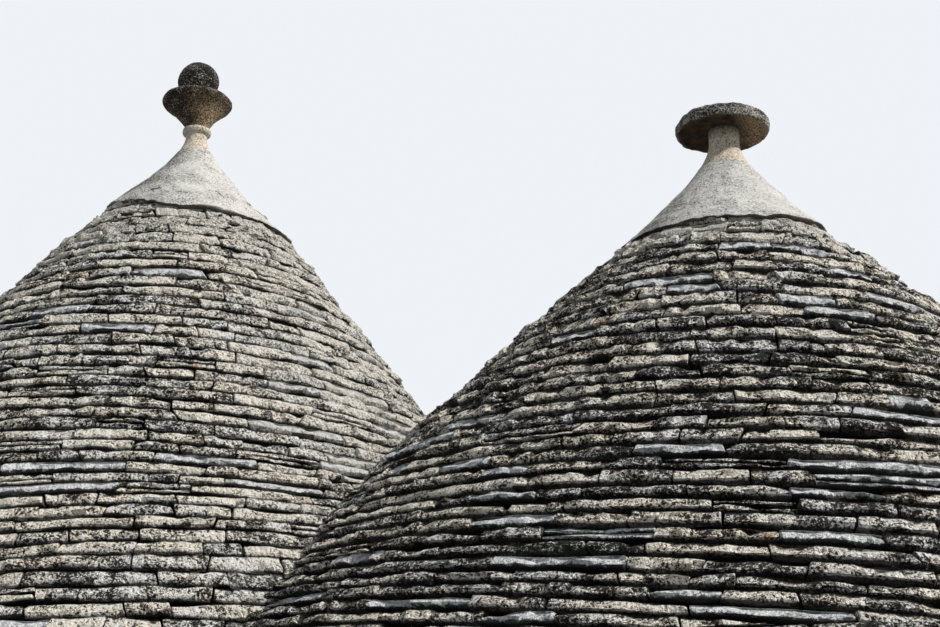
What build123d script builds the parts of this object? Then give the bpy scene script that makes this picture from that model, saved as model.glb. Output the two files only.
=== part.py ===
# Trullo house: two square rooms side by side under two dry-stone cones.
# Millimetres, +Z up, the row of rooms along X, the doorway on the -Y side.
# The origin is on the ground under the middle of the house.
import os
from math import atan2, cos, degrees, pi, radians, sin, tan

from build123d import *

# Plan of the walls
ROOM_SPACING = 3000.0      # between the vertical axes of the two cones
ROOM_HALF = 1200.0         # from a cone's axis to the inner wall face
PLAN_CORNER = 1500.0       # radius of the rounded outer corners
WALL_HEIGHT = 2130.0       # ground to the underside of the eaves slabs
FLOOR_THICKNESS = 100.0
ROOM_CORNER_CUT = 730.0    # slabs laid across each room's corners, to turn the square into an octagon

# Eaves slabs that level the wall tops and carry the cones
EAVES_THICKNESS = 70.0
EAVES_OVERHANG = 130.0

# Corner courses, rounded rings that carry the cones and fill out the plan's corners
CORNER_COURSES = 3
CORNER_COURSE_HEIGHT = 66.0
CORNER_INSET = 50.0        # lowest corner course back from the edge of the eaves slabs
CORNER_STEP = 80.0         # each next one back from the one below
CORNER_ROUNDING = 250.0    # and so much rounder
CONE_LEDGE = 20.0          # top corner course beyond the foot of the larger cone

# Slab courses of the two cones
COURSE_SIDES = 24          # straight sides to each ring of slabs
COURSE_LEAN = 15.0         # degrees that the slabs' faces lean back from upright
RIGHT_FOOT_RADIUS = 2800.0
RIGHT_TOP_RADIUS = 610.0
RIGHT_COURSES = 32
RIGHT_COURSE_HEIGHT = 72.0
RIGHT_BULGE = 50.0         # belly of the cone's side over a straight line
LEFT_FOOT_RADIUS = 2605.0
LEFT_TOP_RADIUS = 605.0
LEFT_COURSES = 41
LEFT_COURSE_HEIGHT = 66.0
LEFT_BULGE = 35.0

# Thickness of the slab skin, and the corbelled dome inside it
SKIN_FOOT_DEPTH = 420.0
SKIN_TOP_DEPTH = 290.0
DOME_SEGMENTS = 12         # staves that the ring of each dome is laid in
DOME_BANDS = 5
RIGHT_DOME_RISE = 1700.0   # from the eaves to the closing slab
LEFT_DOME_RISE = 2000.0
DOME_EYE_RADIUS = 190.0    # hole left at the top of the corbelling
CLOSING_SLAB_SIDE = 620.0
CLOSING_SLAB_THICKNESS = 80.0

# Plastered tops: a flare from the last course up to a slender neck
ROUND_SIDES = 32           # straight sides that make a plastered top or a finial round
CAP_OVERLAP = 15.0         # plaster proud of the last course
RIGHT_NECK_RADIUS = 84.0
RIGHT_NECK_HEIGHT = 75.0   # upright stretch at the top of the flare
RIGHT_CAP_HEIGHT = 760.0
RIGHT_CROOK_HEIGHT = 510.0 # where the flare's slope would meet the neck
CAP_BANDS = 7              # conical bands that a flare is made of
LEFT_NECK_RADIUS = 66.0
LEFT_NECK_HEIGHT = 62.0
LEFT_CAP_HEIGHT = 745.0
LEFT_CROOK_HEIGHT = 530.0

# Finials
DISC_RADIUS = 243.0
DISC_THICKNESS = 82.0      # at the rim
DISC_UNDERCUT = 16.0       # hollow of the underside from rim to neck
DISC_RIM = 12.0            # flat foot of the rim round the hollow
DISC_CROWN = 14.0          # rise of the top over the rim
DISC_CROWN_RADIUS = 120.0  # flat middle of the crown
DISC_EDGE = 20.0
BOWL_RADIUS = 202.0
BOWL_FLARE_HEIGHT = 168.0  # foot of the bowl to its widest line
BOWL_SHOULDER_HEIGHT = 50.0
BOWL_MOUTH_RADIUS = 118.0
BOWL_FOOT_HEIGHT = 22.0
BOWL_RIM = 26.0
BALL_RADIUS = 124.0
BALL_BANDS = 10            # conical bands that the ball is made of
BALL_POLE = 80.0           # degrees of latitude where its flat poles start
BALL_SINK = 36.0           # how deep the ball sits in the bowl
COLLAR_HEIGHT = 40.0
COLLAR_WIDTH = 16.0

# Doorway in the front wall of the right room
NICHE_WIDTH = 1100.0
NICHE_DEPTH = 600.0
ARCH_COVER = 20.0          # wall left between the arch ring and the eaves
PASSAGE_WIDTH = 900.0
PASSAGE_HEIGHT = 1850.0
SURROUND_WIDTH = 160.0     # dressed jambs and arch ring
SURROUND_DEPTH = 250.0
SURROUND_PROUD = 20.0
THRESHOLD_HEIGHT = 120.0
THRESHOLD_WEAR = 15.0      # radius of its worn front edge
DOOR_FRAME_WIDTH = 70.0
DOOR_FRAME_DEPTH = 100.0
LEAF_THICKNESS = 45.0
LEAF_CLEARANCE = 10.0
LEDGE_HEIGHT = 110.0       # cross boards on the back of the door
LEDGE_THICKNESS = 25.0
LOW_LEDGE_SHARE = 0.17     # middle of the low ledge, as a share of the door's height
HIGH_LEDGE_SHARE = 0.80
HINGE_HEIGHT = 120.0
HINGE_RADIUS = 9.0

# Archway between the rooms
ARCHWAY_WIDTH = 1500.0
ARCHWAY_SPRING = 1150.0

# Windows, one in each outer side
WINDOW_WIDTH = 520.0       # clear stone opening
WINDOW_HEIGHT = 620.0
WINDOW_SILL = 1050.0
WINDOW_SURROUND = 110.0
WINDOW_SURROUND_DEPTH = 280.0
WINDOW_PROUD = 15.0
SASH_WIDTH = 45.0
SASH_DEPTH = 50.0
SASH_SETBACK = 120.0       # stone face to the sash
BAR_WIDTH = 24.0
GLASS_THICKNESS = 6.0

# Worked out from the above
NICHE_SPRING = WALL_HEIGHT - ARCH_COVER - SURROUND_WIDTH - NICHE_WIDTH / 2
CELL_HALF = (
    max(RIGHT_FOOT_RADIUS, LEFT_FOOT_RADIUS) + CONE_LEDGE
    + (CORNER_COURSES - 1) * CORNER_STEP + CORNER_INSET - EAVES_OVERHANG
)
RIGHT_X = ROOM_SPACING / 2
LEFT_X = -ROOM_SPACING / 2
PLAN_LENGTH = ROOM_SPACING + 2 * CELL_HALF
PLAN_DEPTH = 2 * CELL_HALF
FRONT_Y = -CELL_HALF
ROOF_FOOT = WALL_HEIGHT + EAVES_THICKNESS
CORNER_RISE = CORNER_COURSES * CORNER_COURSE_HEIGHT
CONE_FOOT = ROOF_FOOT + CORNER_RISE


def plan_outline(grow=0.0, rounding=0.0):
    """The rounded outline of the whole house, grown outwards, with its corners rounder by rounding."""
    return RectangleRounded(
        PLAN_LENGTH + 2 * grow, PLAN_DEPTH + 2 * grow, PLAN_CORNER + grow + rounding
    )


def band(wide, narrow, height, sides):
    """A many-sided band that stands on its wider end and closes upwards."""
    with BuildPart() as piece:
        with BuildSketch():
            RegularPolygon(wide, sides)
        extrude(amount=height, taper=degrees(atan2((wide - narrow) * cos(pi / sides), height)))
    return piece.part


def turned(x, z, sides, levels):
    """Bands round an upright axis at x, between levels given as radius and height above z. A band that
    widens upwards is made the other way up and turned over."""
    bands = []
    for (low_radius, low_z), (high_radius, high_z) in zip(levels, levels[1:]):
        height = high_z - low_z
        if high_radius > low_radius:
            place = Pos(x, 0, z + high_z) * Rot(180, 0, 0)
            bands.append(place * band(high_radius, low_radius, height, sides))
        else:
            bands.append(Pos(x, 0, z + low_z) * band(low_radius, high_radius, height, sides))
    with BuildPart() as piece:
        add(bands)
    return piece.part


def save(part, name):
    """Names a piece and writes it out."""
    part.label = name
    export_step(part, f"parts/{name}.step")


os.makedirs("parts", exist_ok=True)

# Cutters for the doorway: arched niche, the dressed surround that lines its mouth, and the square passage
with BuildPart() as niche_cut:
    with BuildSketch(Plane.XZ.offset(CELL_HALF + SURROUND_PROUD)):
        with Locations((RIGHT_X, NICHE_SPRING / 2)):
            Rectangle(NICHE_WIDTH, NICHE_SPRING)
        with Locations((RIGHT_X, NICHE_SPRING)):
            Circle(NICHE_WIDTH / 2)
    extrude(amount=-(NICHE_DEPTH + SURROUND_PROUD))

with BuildPart() as surround_cut:
    with BuildSketch(Plane.XZ.offset(CELL_HALF + SURROUND_PROUD)):
        with Locations((RIGHT_X, NICHE_SPRING / 2)):
            Rectangle(NICHE_WIDTH + 2 * SURROUND_WIDTH, NICHE_SPRING)
        with Locations((RIGHT_X, NICHE_SPRING)):
            Circle(NICHE_WIDTH / 2 + SURROUND_WIDTH)
    extrude(amount=-(SURROUND_DEPTH + SURROUND_PROUD))


def wall(x_low, x_high, y_low, y_high, z_low=0.0):
    """A length of the thick outer wall: the part of the plan between two x and two y lines."""
    with BuildPart() as piece:
        with BuildSketch(Plane.XY.offset(z_low)):
            plan_outline()
            with Locations(((x_low + x_high) / 2, (y_low + y_high) / 2)):
                Rectangle(x_high - x_low, y_high - y_low, mode=Mode.INTERSECT)
        extrude(amount=WALL_HEIGHT - z_low)
    return piece.part


END_X = PLAN_LENGTH / 2
RIGHT_ROOM_INNER = RIGHT_X - ROOM_HALF
RIGHT_ROOM_OUTER = RIGHT_X + ROOM_HALF
LEFT_ROOM_INNER = LEFT_X + ROOM_HALF
LEFT_ROOM_OUTER = LEFT_X - ROOM_HALF
PASSAGE_LEFT = RIGHT_X - PASSAGE_WIDTH / 2
PASSAGE_RIGHT = RIGHT_X + PASSAGE_WIDTH / 2

# Each window: the wall it is in, the plane of the outer face seen from outside, and the way in
WINDOW_HOLE_WIDTH = WINDOW_WIDTH + 2 * WINDOW_SURROUND
WINDOW_HOLE_HEIGHT = WINDOW_HEIGHT + 2 * WINDOW_SURROUND
WINDOW_MIDDLE = WINDOW_SILL + WINDOW_HEIGHT / 2
WINDOW_PLANES = {
    "front": Plane(origin=(LEFT_X, FRONT_Y, WINDOW_MIDDLE), x_dir=(1, 0, 0), z_dir=(0, -1, 0)),
    "back": Plane(origin=(RIGHT_X, -FRONT_Y, WINDOW_MIDDLE), x_dir=(-1, 0, 0), z_dir=(0, 1, 0)),
    "right": Plane(origin=(END_X, 0, WINDOW_MIDDLE), x_dir=(0, 1, 0), z_dir=(1, 0, 0)),
    "left": Plane(origin=(-END_X, 0, WINDOW_MIDDLE), x_dir=(0, -1, 0), z_dir=(-1, 0, 0)),
}


def window_hole(side):
    """The hole in the wall: wide at the face for the stone surround, then the clear width to the room."""
    with BuildPart() as hole:
        with BuildSketch(WINDOW_PLANES[side]):
            Rectangle(WINDOW_WIDTH, WINDOW_HEIGHT)
        extrude(amount=-(CELL_HALF - ROOM_HALF))
        with BuildSketch(WINDOW_PLANES[side]):
            Rectangle(WINDOW_HOLE_WIDTH, WINDOW_HOLE_HEIGHT)
        extrude(amount=-WINDOW_SURROUND_DEPTH)
    return hole.part


WINDOW_HOLES = {side: window_hole(side) for side in WINDOW_PLANES}
WALLS = {
    "left_end_wall": (wall(-END_X, LEFT_ROOM_OUTER, -ROOM_HALF, ROOM_HALF), [WINDOW_HOLES["left"]]),
    "right_end_wall": (wall(RIGHT_ROOM_OUTER, END_X, -ROOM_HALF, ROOM_HALF), [WINDOW_HOLES["right"]]),
    "left_front_wall": (wall(-END_X, 0, FRONT_Y, -ROOM_HALF), [WINDOW_HOLES["front"]]),
    "left_back_wall": (wall(-END_X, 0, ROOM_HALF, -FRONT_Y), []),
    "right_back_wall": (wall(0, END_X, ROOM_HALF, -FRONT_Y), [WINDOW_HOLES["back"]]),
}
for name, (solid_wall, holes) in WALLS.items():
    with BuildPart() as outer_wall:
        add(solid_wall)
        for hole in holes:
            add(hole, mode=Mode.SUBTRACT)
    save(outer_wall.part, name)

# Front wall of the right room, in three pieces round the doorway
DOOR_WALLS = {
    "door_left_wall": wall(0, PASSAGE_LEFT, FRONT_Y, -ROOM_HALF),
    "door_right_wall": wall(PASSAGE_RIGHT, END_X, FRONT_Y, -ROOM_HALF),
    "door_head_wall": wall(PASSAGE_LEFT, PASSAGE_RIGHT, FRONT_Y, -ROOM_HALF, PASSAGE_HEIGHT),
}
for name, solid_wall in DOOR_WALLS.items():
    with BuildPart() as door_wall:
        add(solid_wall)
        add(niche_cut.part, mode=Mode.SUBTRACT)
        add(surround_cut.part, mode=Mode.SUBTRACT)
    save(door_wall.part, name)

# Wall between the rooms, with an arched way through
MIDDLE_THICKNESS = RIGHT_ROOM_INNER - LEFT_ROOM_INNER
PIER_LENGTH = ROOM_HALF - ARCHWAY_WIDTH / 2
for name, side in (("middle_front_pier", -1), ("middle_back_pier", 1)):
    with BuildPart() as middle_pier:
        with BuildSketch():
            with Locations((0, side * (ARCHWAY_WIDTH + PIER_LENGTH) / 2)):
                Rectangle(MIDDLE_THICKNESS, PIER_LENGTH)
        extrude(amount=WALL_HEIGHT)
    save(middle_pier.part, name)

with BuildPart() as middle_arch:
    with BuildSketch(Plane.YZ.offset(-MIDDLE_THICKNESS / 2)):
        with Locations((0, (ARCHWAY_SPRING + WALL_HEIGHT) / 2)):
            Rectangle(ARCHWAY_WIDTH, WALL_HEIGHT - ARCHWAY_SPRING)
        with Locations((0, ARCHWAY_SPRING)):
            Circle(ARCHWAY_WIDTH / 2, mode=Mode.SUBTRACT)
    extrude(amount=MIDDLE_THICKNESS)
save(middle_arch.part, "middle_arch")

# Floors: a stone bed in each room, which runs on into the passages
with BuildPart() as right_floor:
    with BuildSketch():
        with Locations((RIGHT_X, 0)):
            Rectangle(2 * ROOM_HALF, 2 * ROOM_HALF)
        with Locations((RIGHT_X, (-ROOM_HALF + FRONT_Y + NICHE_DEPTH) / 2)):
            Rectangle(PASSAGE_WIDTH, CELL_HALF - ROOM_HALF - NICHE_DEPTH)
    extrude(amount=FLOOR_THICKNESS)
save(right_floor.part, "right_floor")

with BuildPart() as left_floor:
    with BuildSketch():
        with Locations((LEFT_X, 0)):
            Rectangle(2 * ROOM_HALF, 2 * ROOM_HALF)
        Rectangle(MIDDLE_THICKNESS, ARCHWAY_WIDTH)
    extrude(amount=FLOOR_THICKNESS)
save(left_floor.part, "left_floor")

with BuildPart() as threshold:
    with BuildSketch():
        with Locations((RIGHT_X, FRONT_Y + NICHE_DEPTH / 2)):
            Rectangle(NICHE_WIDTH, NICHE_DEPTH)
    extrude(amount=THRESHOLD_HEIGHT)
    upper_edges = threshold.edges().filter_by(Axis.X).group_by(Axis.Z)[-1]
    fillet(upper_edges.sort_by(Axis.Y)[0], radius=THRESHOLD_WEAR)
save(threshold.part, "threshold")

# Dressed stones round the niche: two jambs and the arch ring
for name, side in (("door_jamb_left", -1), ("door_jamb_right", 1)):
    with BuildPart() as jamb:
        with BuildSketch():
            jamb_x = RIGHT_X + side * (NICHE_WIDTH + SURROUND_WIDTH) / 2
            with Locations((jamb_x, FRONT_Y - SURROUND_PROUD + (SURROUND_DEPTH + SURROUND_PROUD) / 2)):
                Rectangle(SURROUND_WIDTH, SURROUND_DEPTH + SURROUND_PROUD)
        extrude(amount=NICHE_SPRING)
    save(jamb.part, name)

with BuildPart() as door_arch:
    with BuildSketch(Plane.XZ.offset(CELL_HALF + SURROUND_PROUD)):
        with Locations((RIGHT_X, NICHE_SPRING)):
            Circle(NICHE_WIDTH / 2 + SURROUND_WIDTH)
            Circle(NICHE_WIDTH / 2, mode=Mode.SUBTRACT)
        with Locations((RIGHT_X, NICHE_SPRING / 2)):
            Rectangle(NICHE_WIDTH + 2 * SURROUND_WIDTH, NICHE_SPRING, mode=Mode.SUBTRACT)
    extrude(amount=-(SURROUND_DEPTH + SURROUND_PROUD))
save(door_arch.part, "door_arch")

# Door frame at the back of the niche
FRAME_Y = FRONT_Y + NICHE_DEPTH
LEAF_WIDTH = PASSAGE_WIDTH - 2 * DOOR_FRAME_WIDTH
LEAF_HEIGHT = PASSAGE_HEIGHT - FLOOR_THICKNESS - DOOR_FRAME_WIDTH - 2 * LEAF_CLEARANCE
with BuildPart() as door_frame:
    with BuildSketch(Plane.XZ.offset(-FRAME_Y)):
        with Locations((RIGHT_X, (PASSAGE_HEIGHT + FLOOR_THICKNESS) / 2)):
            Rectangle(PASSAGE_WIDTH, PASSAGE_HEIGHT - FLOOR_THICKNESS)
        with Locations((RIGHT_X, (PASSAGE_HEIGHT + FLOOR_THICKNESS - DOOR_FRAME_WIDTH) / 2)):
            Rectangle(LEAF_WIDTH, PASSAGE_HEIGHT - FLOOR_THICKNESS - DOOR_FRAME_WIDTH, mode=Mode.SUBTRACT)
    extrude(amount=-DOOR_FRAME_DEPTH)
save(door_frame.part, "door_frame")

# Plank door, standing open along the side of the passage, hung on two pintles
LEAF_X = RIGHT_X - LEAF_WIDTH / 2
LEAF_Y = FRAME_Y + DOOR_FRAME_DEPTH + 2 * HINGE_RADIUS
LEAF_Z = FLOOR_THICKNESS + LEAF_CLEARANCE
LEDGE_PLACES = (LEAF_HEIGHT * LOW_LEDGE_SHARE, LEAF_HEIGHT * HIGH_LEDGE_SHARE)
with BuildPart() as door_leaf:
    with BuildSketch(Plane.XY.offset(LEAF_Z)):
        with Locations((LEAF_X - LEAF_THICKNESS / 2, LEAF_Y + LEAF_WIDTH / 2)):
            Rectangle(LEAF_THICKNESS, LEAF_WIDTH)
    extrude(amount=LEAF_HEIGHT)
    for ledge_place in LEDGE_PLACES:
        with BuildSketch(Plane.XY.offset(LEAF_Z + ledge_place - LEDGE_HEIGHT / 2)):
            with Locations((LEAF_X + LEDGE_THICKNESS / 2, LEAF_Y + LEAF_WIDTH / 2)):
                Rectangle(LEDGE_THICKNESS, LEAF_WIDTH - 2 * LEDGE_HEIGHT)
        extrude(amount=LEDGE_HEIGHT)
save(door_leaf.part, "door_leaf")

with BuildPart() as door_hinges:
    for ledge_place in LEDGE_PLACES:
        with BuildSketch(Plane.XY.offset(LEAF_Z + ledge_place - HINGE_HEIGHT / 2)):
            with Locations((LEAF_X - LEAF_THICKNESS / 2, LEAF_Y - HINGE_RADIUS)):
                Rectangle(2 * HINGE_RADIUS, 2 * HINGE_RADIUS)
        extrude(amount=HINGE_HEIGHT)
save(door_hinges.part, "door_hinges")

# Windows: a stone surround set in each hole, a wooden sash with a cross bar, and its glass
with BuildPart() as window_surrounds:
    for plane in WINDOW_PLANES.values():
        with BuildSketch(plane.offset(WINDOW_PROUD)):
            Rectangle(WINDOW_HOLE_WIDTH, WINDOW_HOLE_HEIGHT)
            Rectangle(WINDOW_WIDTH, WINDOW_HEIGHT, mode=Mode.SUBTRACT)
        extrude(amount=-(WINDOW_SURROUND_DEPTH + WINDOW_PROUD))
save(window_surrounds.part, "window_surrounds")

with BuildPart() as window_sashes:
    for plane in WINDOW_PLANES.values():
        with BuildSketch(plane.offset(-SASH_SETBACK)):
            Rectangle(WINDOW_WIDTH, WINDOW_HEIGHT)
            Rectangle(WINDOW_WIDTH - 2 * SASH_WIDTH, WINDOW_HEIGHT - 2 * SASH_WIDTH, mode=Mode.SUBTRACT)
            Rectangle(BAR_WIDTH, WINDOW_HEIGHT - 2 * SASH_WIDTH)
            Rectangle(WINDOW_WIDTH - 2 * SASH_WIDTH, BAR_WIDTH)
        extrude(amount=-SASH_DEPTH)
        with BuildSketch(plane.offset(-SASH_SETBACK - (SASH_DEPTH - GLASS_THICKNESS) / 2)):
            Rectangle(WINDOW_WIDTH - 2 * SASH_WIDTH, WINDOW_HEIGHT - 2 * SASH_WIDTH)
        extrude(amount=-GLASS_THICKNESS, mode=Mode.SUBTRACT)
save(window_sashes.part, "window_sashes")

with BuildPart() as window_glass:
    for plane in WINDOW_PLANES.values():
        with BuildSketch(plane.offset(-SASH_SETBACK - (SASH_DEPTH - GLASS_THICKNESS) / 2)):
            Rectangle(WINDOW_WIDTH - 2 * SASH_WIDTH, WINDOW_HEIGHT - 2 * SASH_WIDTH)
        extrude(amount=-GLASS_THICKNESS)
save(window_glass.part, "window_glass")


class Cone:
    """The sizes of one roof, with heights above the foot of its cone."""

    def __init__(
        self, x, foot, top, courses, course_height, bulge,
        dome_rise, neck, neck_height, cap_height, crook,
    ):
        self.x = x
        self.foot = foot
        self.top = top
        self.courses = courses
        self.course_height = course_height
        self.bulge = bulge
        self.rise = courses * course_height
        self.dome_rise = dome_rise
        self.dome_top = dome_rise - CORNER_RISE
        self.neck = neck
        self.neck_height = neck_height
        self.cap_height = cap_height
        self.crook = crook

    def radius(self, z):
        """Radius of the slab face: a straight batter plus a shallow belly."""
        share = z / self.rise
        return self.foot + (self.top - self.foot) * share + 4 * self.bulge * share * (1 - share)

    def skin_radius(self, z):
        """Radius of the back of the slabs, on a straight batter."""
        foot_radius = self.foot - SKIN_FOOT_DEPTH
        top_radius = self.top - SKIN_TOP_DEPTH
        return foot_radius + (top_radius - foot_radius) * z / self.rise

    def skin_core(self, low_z, high_z):
        """What the slab courses enclose between two heights."""
        levels = [(self.skin_radius(z), z) for z in (low_z, high_z)]
        return turned(self.x, CONE_FOOT, COURSE_SIDES, levels)

    def dome_space(self):
        """The open space under the corbelling, which narrows to the eye by the square of its height."""
        shares = [band / DOME_BANDS for band in range(DOME_BANDS + 1)]
        levels = [
            (ROOM_HALF - share**2 * (ROOM_HALF - DOME_EYE_RADIUS), share * self.dome_rise)
            for share in shares
        ]
        return turned(self.x, ROOF_FOOT, COURSE_SIDES, levels)

    def plaster(self):
        """The plastered top: a flare, steepest at the neck, and the upright neck."""
        levels = []
        for band in range(CAP_BANDS + 1):
            share = band / CAP_BANDS
            radius = self.neck + (self.top + CAP_OVERLAP - self.neck) * (1 - share) ** 2
            neck_foot = self.cap_height - self.neck_height
            levels.append((radius, 2 * share * (1 - share) * self.crook + share**2 * neck_foot))
        levels.append((self.neck, self.cap_height))
        return turned(self.x, CONE_FOOT + self.rise, ROUND_SIDES, levels)


RIGHT = Cone(
    RIGHT_X, RIGHT_FOOT_RADIUS, RIGHT_TOP_RADIUS, RIGHT_COURSES, RIGHT_COURSE_HEIGHT, RIGHT_BULGE,
    RIGHT_DOME_RISE, RIGHT_NECK_RADIUS, RIGHT_NECK_HEIGHT, RIGHT_CAP_HEIGHT, RIGHT_CROOK_HEIGHT,
)
LEFT = Cone(
    LEFT_X, LEFT_FOOT_RADIUS, LEFT_TOP_RADIUS, LEFT_COURSES, LEFT_COURSE_HEIGHT, LEFT_BULGE,
    LEFT_DOME_RISE, LEFT_NECK_RADIUS, LEFT_NECK_HEIGHT, LEFT_CAP_HEIGHT, LEFT_CROOK_HEIGHT,
)

# Eaves slabs, in five pieces that leave an octagon over each room, with the corner courses on the outer four
EAVES_END_X = END_X + EAVES_OVERHANG
EAVES_END_Y = CELL_HALF + EAVES_OVERHANG
OCTAGON_Y = ROOM_HALF - ROOM_CORNER_CUT
EAVES = {
    "eaves_front": (-EAVES_END_X, EAVES_END_X, -EAVES_END_Y, -OCTAGON_Y),
    "eaves_back": (-EAVES_END_X, EAVES_END_X, OCTAGON_Y, EAVES_END_Y),
    "eaves_left_end": (-EAVES_END_X, LEFT_ROOM_OUTER, -OCTAGON_Y, OCTAGON_Y),
    "eaves_right_end": (RIGHT_ROOM_OUTER, EAVES_END_X, -OCTAGON_Y, OCTAGON_Y),
    "eaves_middle": (LEFT_ROOM_INNER, RIGHT_ROOM_INNER, -OCTAGON_Y, OCTAGON_Y),
}
corner_cores = [cone.skin_core(-CORNER_RISE, 0) for cone in (LEFT, RIGHT)]
with BuildPart() as corner_courses:
    for index in range(CORNER_COURSES):
        with BuildSketch(Plane.XY.offset(ROOF_FOOT + index * CORNER_COURSE_HEIGHT)):
            plan_outline(
                EAVES_OVERHANG - CORNER_INSET - index * CORNER_STEP,
                index * CORNER_ROUNDING,
            )
    extrude(amount=CORNER_COURSE_HEIGHT)
    add(corner_cores, mode=Mode.SUBTRACT)

with BuildPart() as octagons:
    with BuildSketch(Plane.XY.offset(WALL_HEIGHT)) as octagon_plan:
        with Locations((LEFT_X, 0), (RIGHT_X, 0)):
            Rectangle(2 * ROOM_HALF, 2 * ROOM_HALF)
        chamfer(octagon_plan.vertices(), length=ROOM_CORNER_CUT)
    extrude(amount=EAVES_THICKNESS)

for name, (x_low, x_high, y_low, y_high) in EAVES.items():
    with BuildPart() as eaves:
        with BuildSketch(Plane.XY.offset(WALL_HEIGHT)):
            plan_outline(EAVES_OVERHANG)
        extrude(amount=EAVES_THICKNESS)
        add(octagons.part, mode=Mode.SUBTRACT)
        if name != "eaves_middle":
            add(corner_courses.part)
        with BuildSketch(Plane.XY.offset(WALL_HEIGHT)):
            with Locations(((x_low + x_high) / 2, (y_low + y_high) / 2)):
                Rectangle(x_high - x_low, y_high - y_low)
        extrude(amount=EAVES_THICKNESS + CORNER_RISE, mode=Mode.INTERSECT)
    save(eaves.part, name)


def meeting_x(z):
    """Where the two cones' faces cross in plan, at height z above their feet."""
    return (LEFT.radius(z) ** 2 - RIGHT.radius(z) ** 2) / (2 * ROOM_SPACING)


SADDLE_PRECISION = 0.001


def saddle_height():
    """Height above the cones' feet where their faces meet on the line between the axes, by halving."""
    low = 0.0
    high = min(LEFT.rise, RIGHT.rise)
    while high - low > SADDLE_PRECISION:
        middle = (low + high) / 2
        if LEFT.radius(middle) + RIGHT.radius(middle) > ROOM_SPACING:
            low = middle
        else:
            high = middle
    return low


SADDLE = saddle_height()
VALLEY_LEAN = degrees(atan2(meeting_x(SADDLE) - meeting_x(0), SADDLE))
VALLEY = Plane(origin=(meeting_x(0), 0, CONE_FOOT), z_dir=(1, 0, 0)).rotated((0, VALLEY_LEAN, 0))
SEGMENT_ANGLE = 360 / DOME_SEGMENTS


def roof(side, cone, keep):
    """Everything of one cone: slab courses, dome, closing slab, fill and plastered top."""
    # Rings of slabs, each turned half a side from the one below
    core = cone.skin_core(0, cone.rise)
    with BuildPart() as courses:
        for index in range(cone.courses):
            z = index * cone.course_height
            with BuildSketch(Plane.XY.offset(CONE_FOOT + z)):
                with Locations((cone.x, 0)):
                    RegularPolygon(cone.radius(z), COURSE_SIDES, rotation=(index % 2) * 180 / COURSE_SIDES)
        extrude(amount=cone.course_height, taper=COURSE_LEAN)
        add(core, mode=Mode.SUBTRACT)
        split(bisect_by=VALLEY, keep=keep)
    save(courses.part, f"{side}_roof_courses")

    # Corbelled dome: masonry round the room that closes in towards its eye
    core = cone.skin_core(-CORNER_RISE, cone.dome_top)
    space = cone.dome_space()
    with BuildPart() as dome:
        add(core)
        add(space, mode=Mode.SUBTRACT)
        split(bisect_by=VALLEY, keep=keep)
    # Wedges in plan, from inside the eye to past the cone's foot
    wedge_near = DOME_EYE_RADIUS / 2
    wedge_far = 2 * cone.foot
    wedge_slope = tan(radians(SEGMENT_ANGLE / 2))
    for name, start in (("odd", 0), ("even", SEGMENT_ANGLE)):
        with BuildPart() as segments:
            with BuildSketch(Plane.XY.offset(ROOF_FOOT)):
                with Locations((cone.x, 0)):
                    with PolarLocations(0, DOME_SEGMENTS // 2, start_angle=start):
                        Polygon(
                            (wedge_near, -wedge_near * wedge_slope), (wedge_far, -wedge_far * wedge_slope),
                            (wedge_far, wedge_far * wedge_slope), (wedge_near, wedge_near * wedge_slope),
                            align=None,
                        )
            extrude(amount=cone.dome_rise)
            add(dome.part, mode=Mode.INTERSECT)
        save(segments.part, f"{side}_dome_{name}_segments")

    with BuildPart() as closing_slab:
        with BuildSketch(Plane.XY.offset(ROOF_FOOT + cone.dome_rise)):
            with Locations((cone.x, 0)):
                Rectangle(CLOSING_SLAB_SIDE, CLOSING_SLAB_SIDE)
        extrude(amount=CLOSING_SLAB_THICKNESS)
    save(closing_slab.part, f"{side}_closing_slab")

    core = cone.skin_core(cone.dome_top, cone.rise)
    with BuildPart() as fill:
        add(core)
        add(closing_slab.part, mode=Mode.SUBTRACT)
    save(fill.part, f"{side}_roof_fill")

    plaster = cone.plaster()
    with BuildPart() as cap:
        add(plaster)
    save(cap.part, f"{side}_plaster_cap")


roof("right", RIGHT, Keep.TOP)
roof("left", LEFT, Keep.BOTTOM)

# Right finial: a thick disc with a hollow underside, a bevelled rim and a low crown
DISC_Z = CONE_FOOT + RIGHT.rise + RIGHT.cap_height
DISC_TOP = DISC_THICKNESS - DISC_UNDERCUT
disc_stone = turned(RIGHT.x, DISC_Z, ROUND_SIDES, [
    (DISC_RADIUS - DISC_EDGE, -DISC_UNDERCUT),
    (DISC_RADIUS, DISC_EDGE - DISC_UNDERCUT),
    (DISC_RADIUS, DISC_TOP - DISC_EDGE),
    (DISC_RADIUS - DISC_EDGE, DISC_TOP),
    (DISC_CROWN_RADIUS, DISC_TOP + DISC_CROWN),
])
disc_hollow = turned(RIGHT.x, DISC_Z, ROUND_SIDES, [
    (DISC_RADIUS - DISC_EDGE - DISC_RIM, -DISC_UNDERCUT),
    (RIGHT.neck, 0),
])
with BuildPart() as disc:
    add(disc_stone)
    add(disc_hollow, mode=Mode.SUBTRACT)
save(disc.part, "right_finial_disc")

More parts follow.
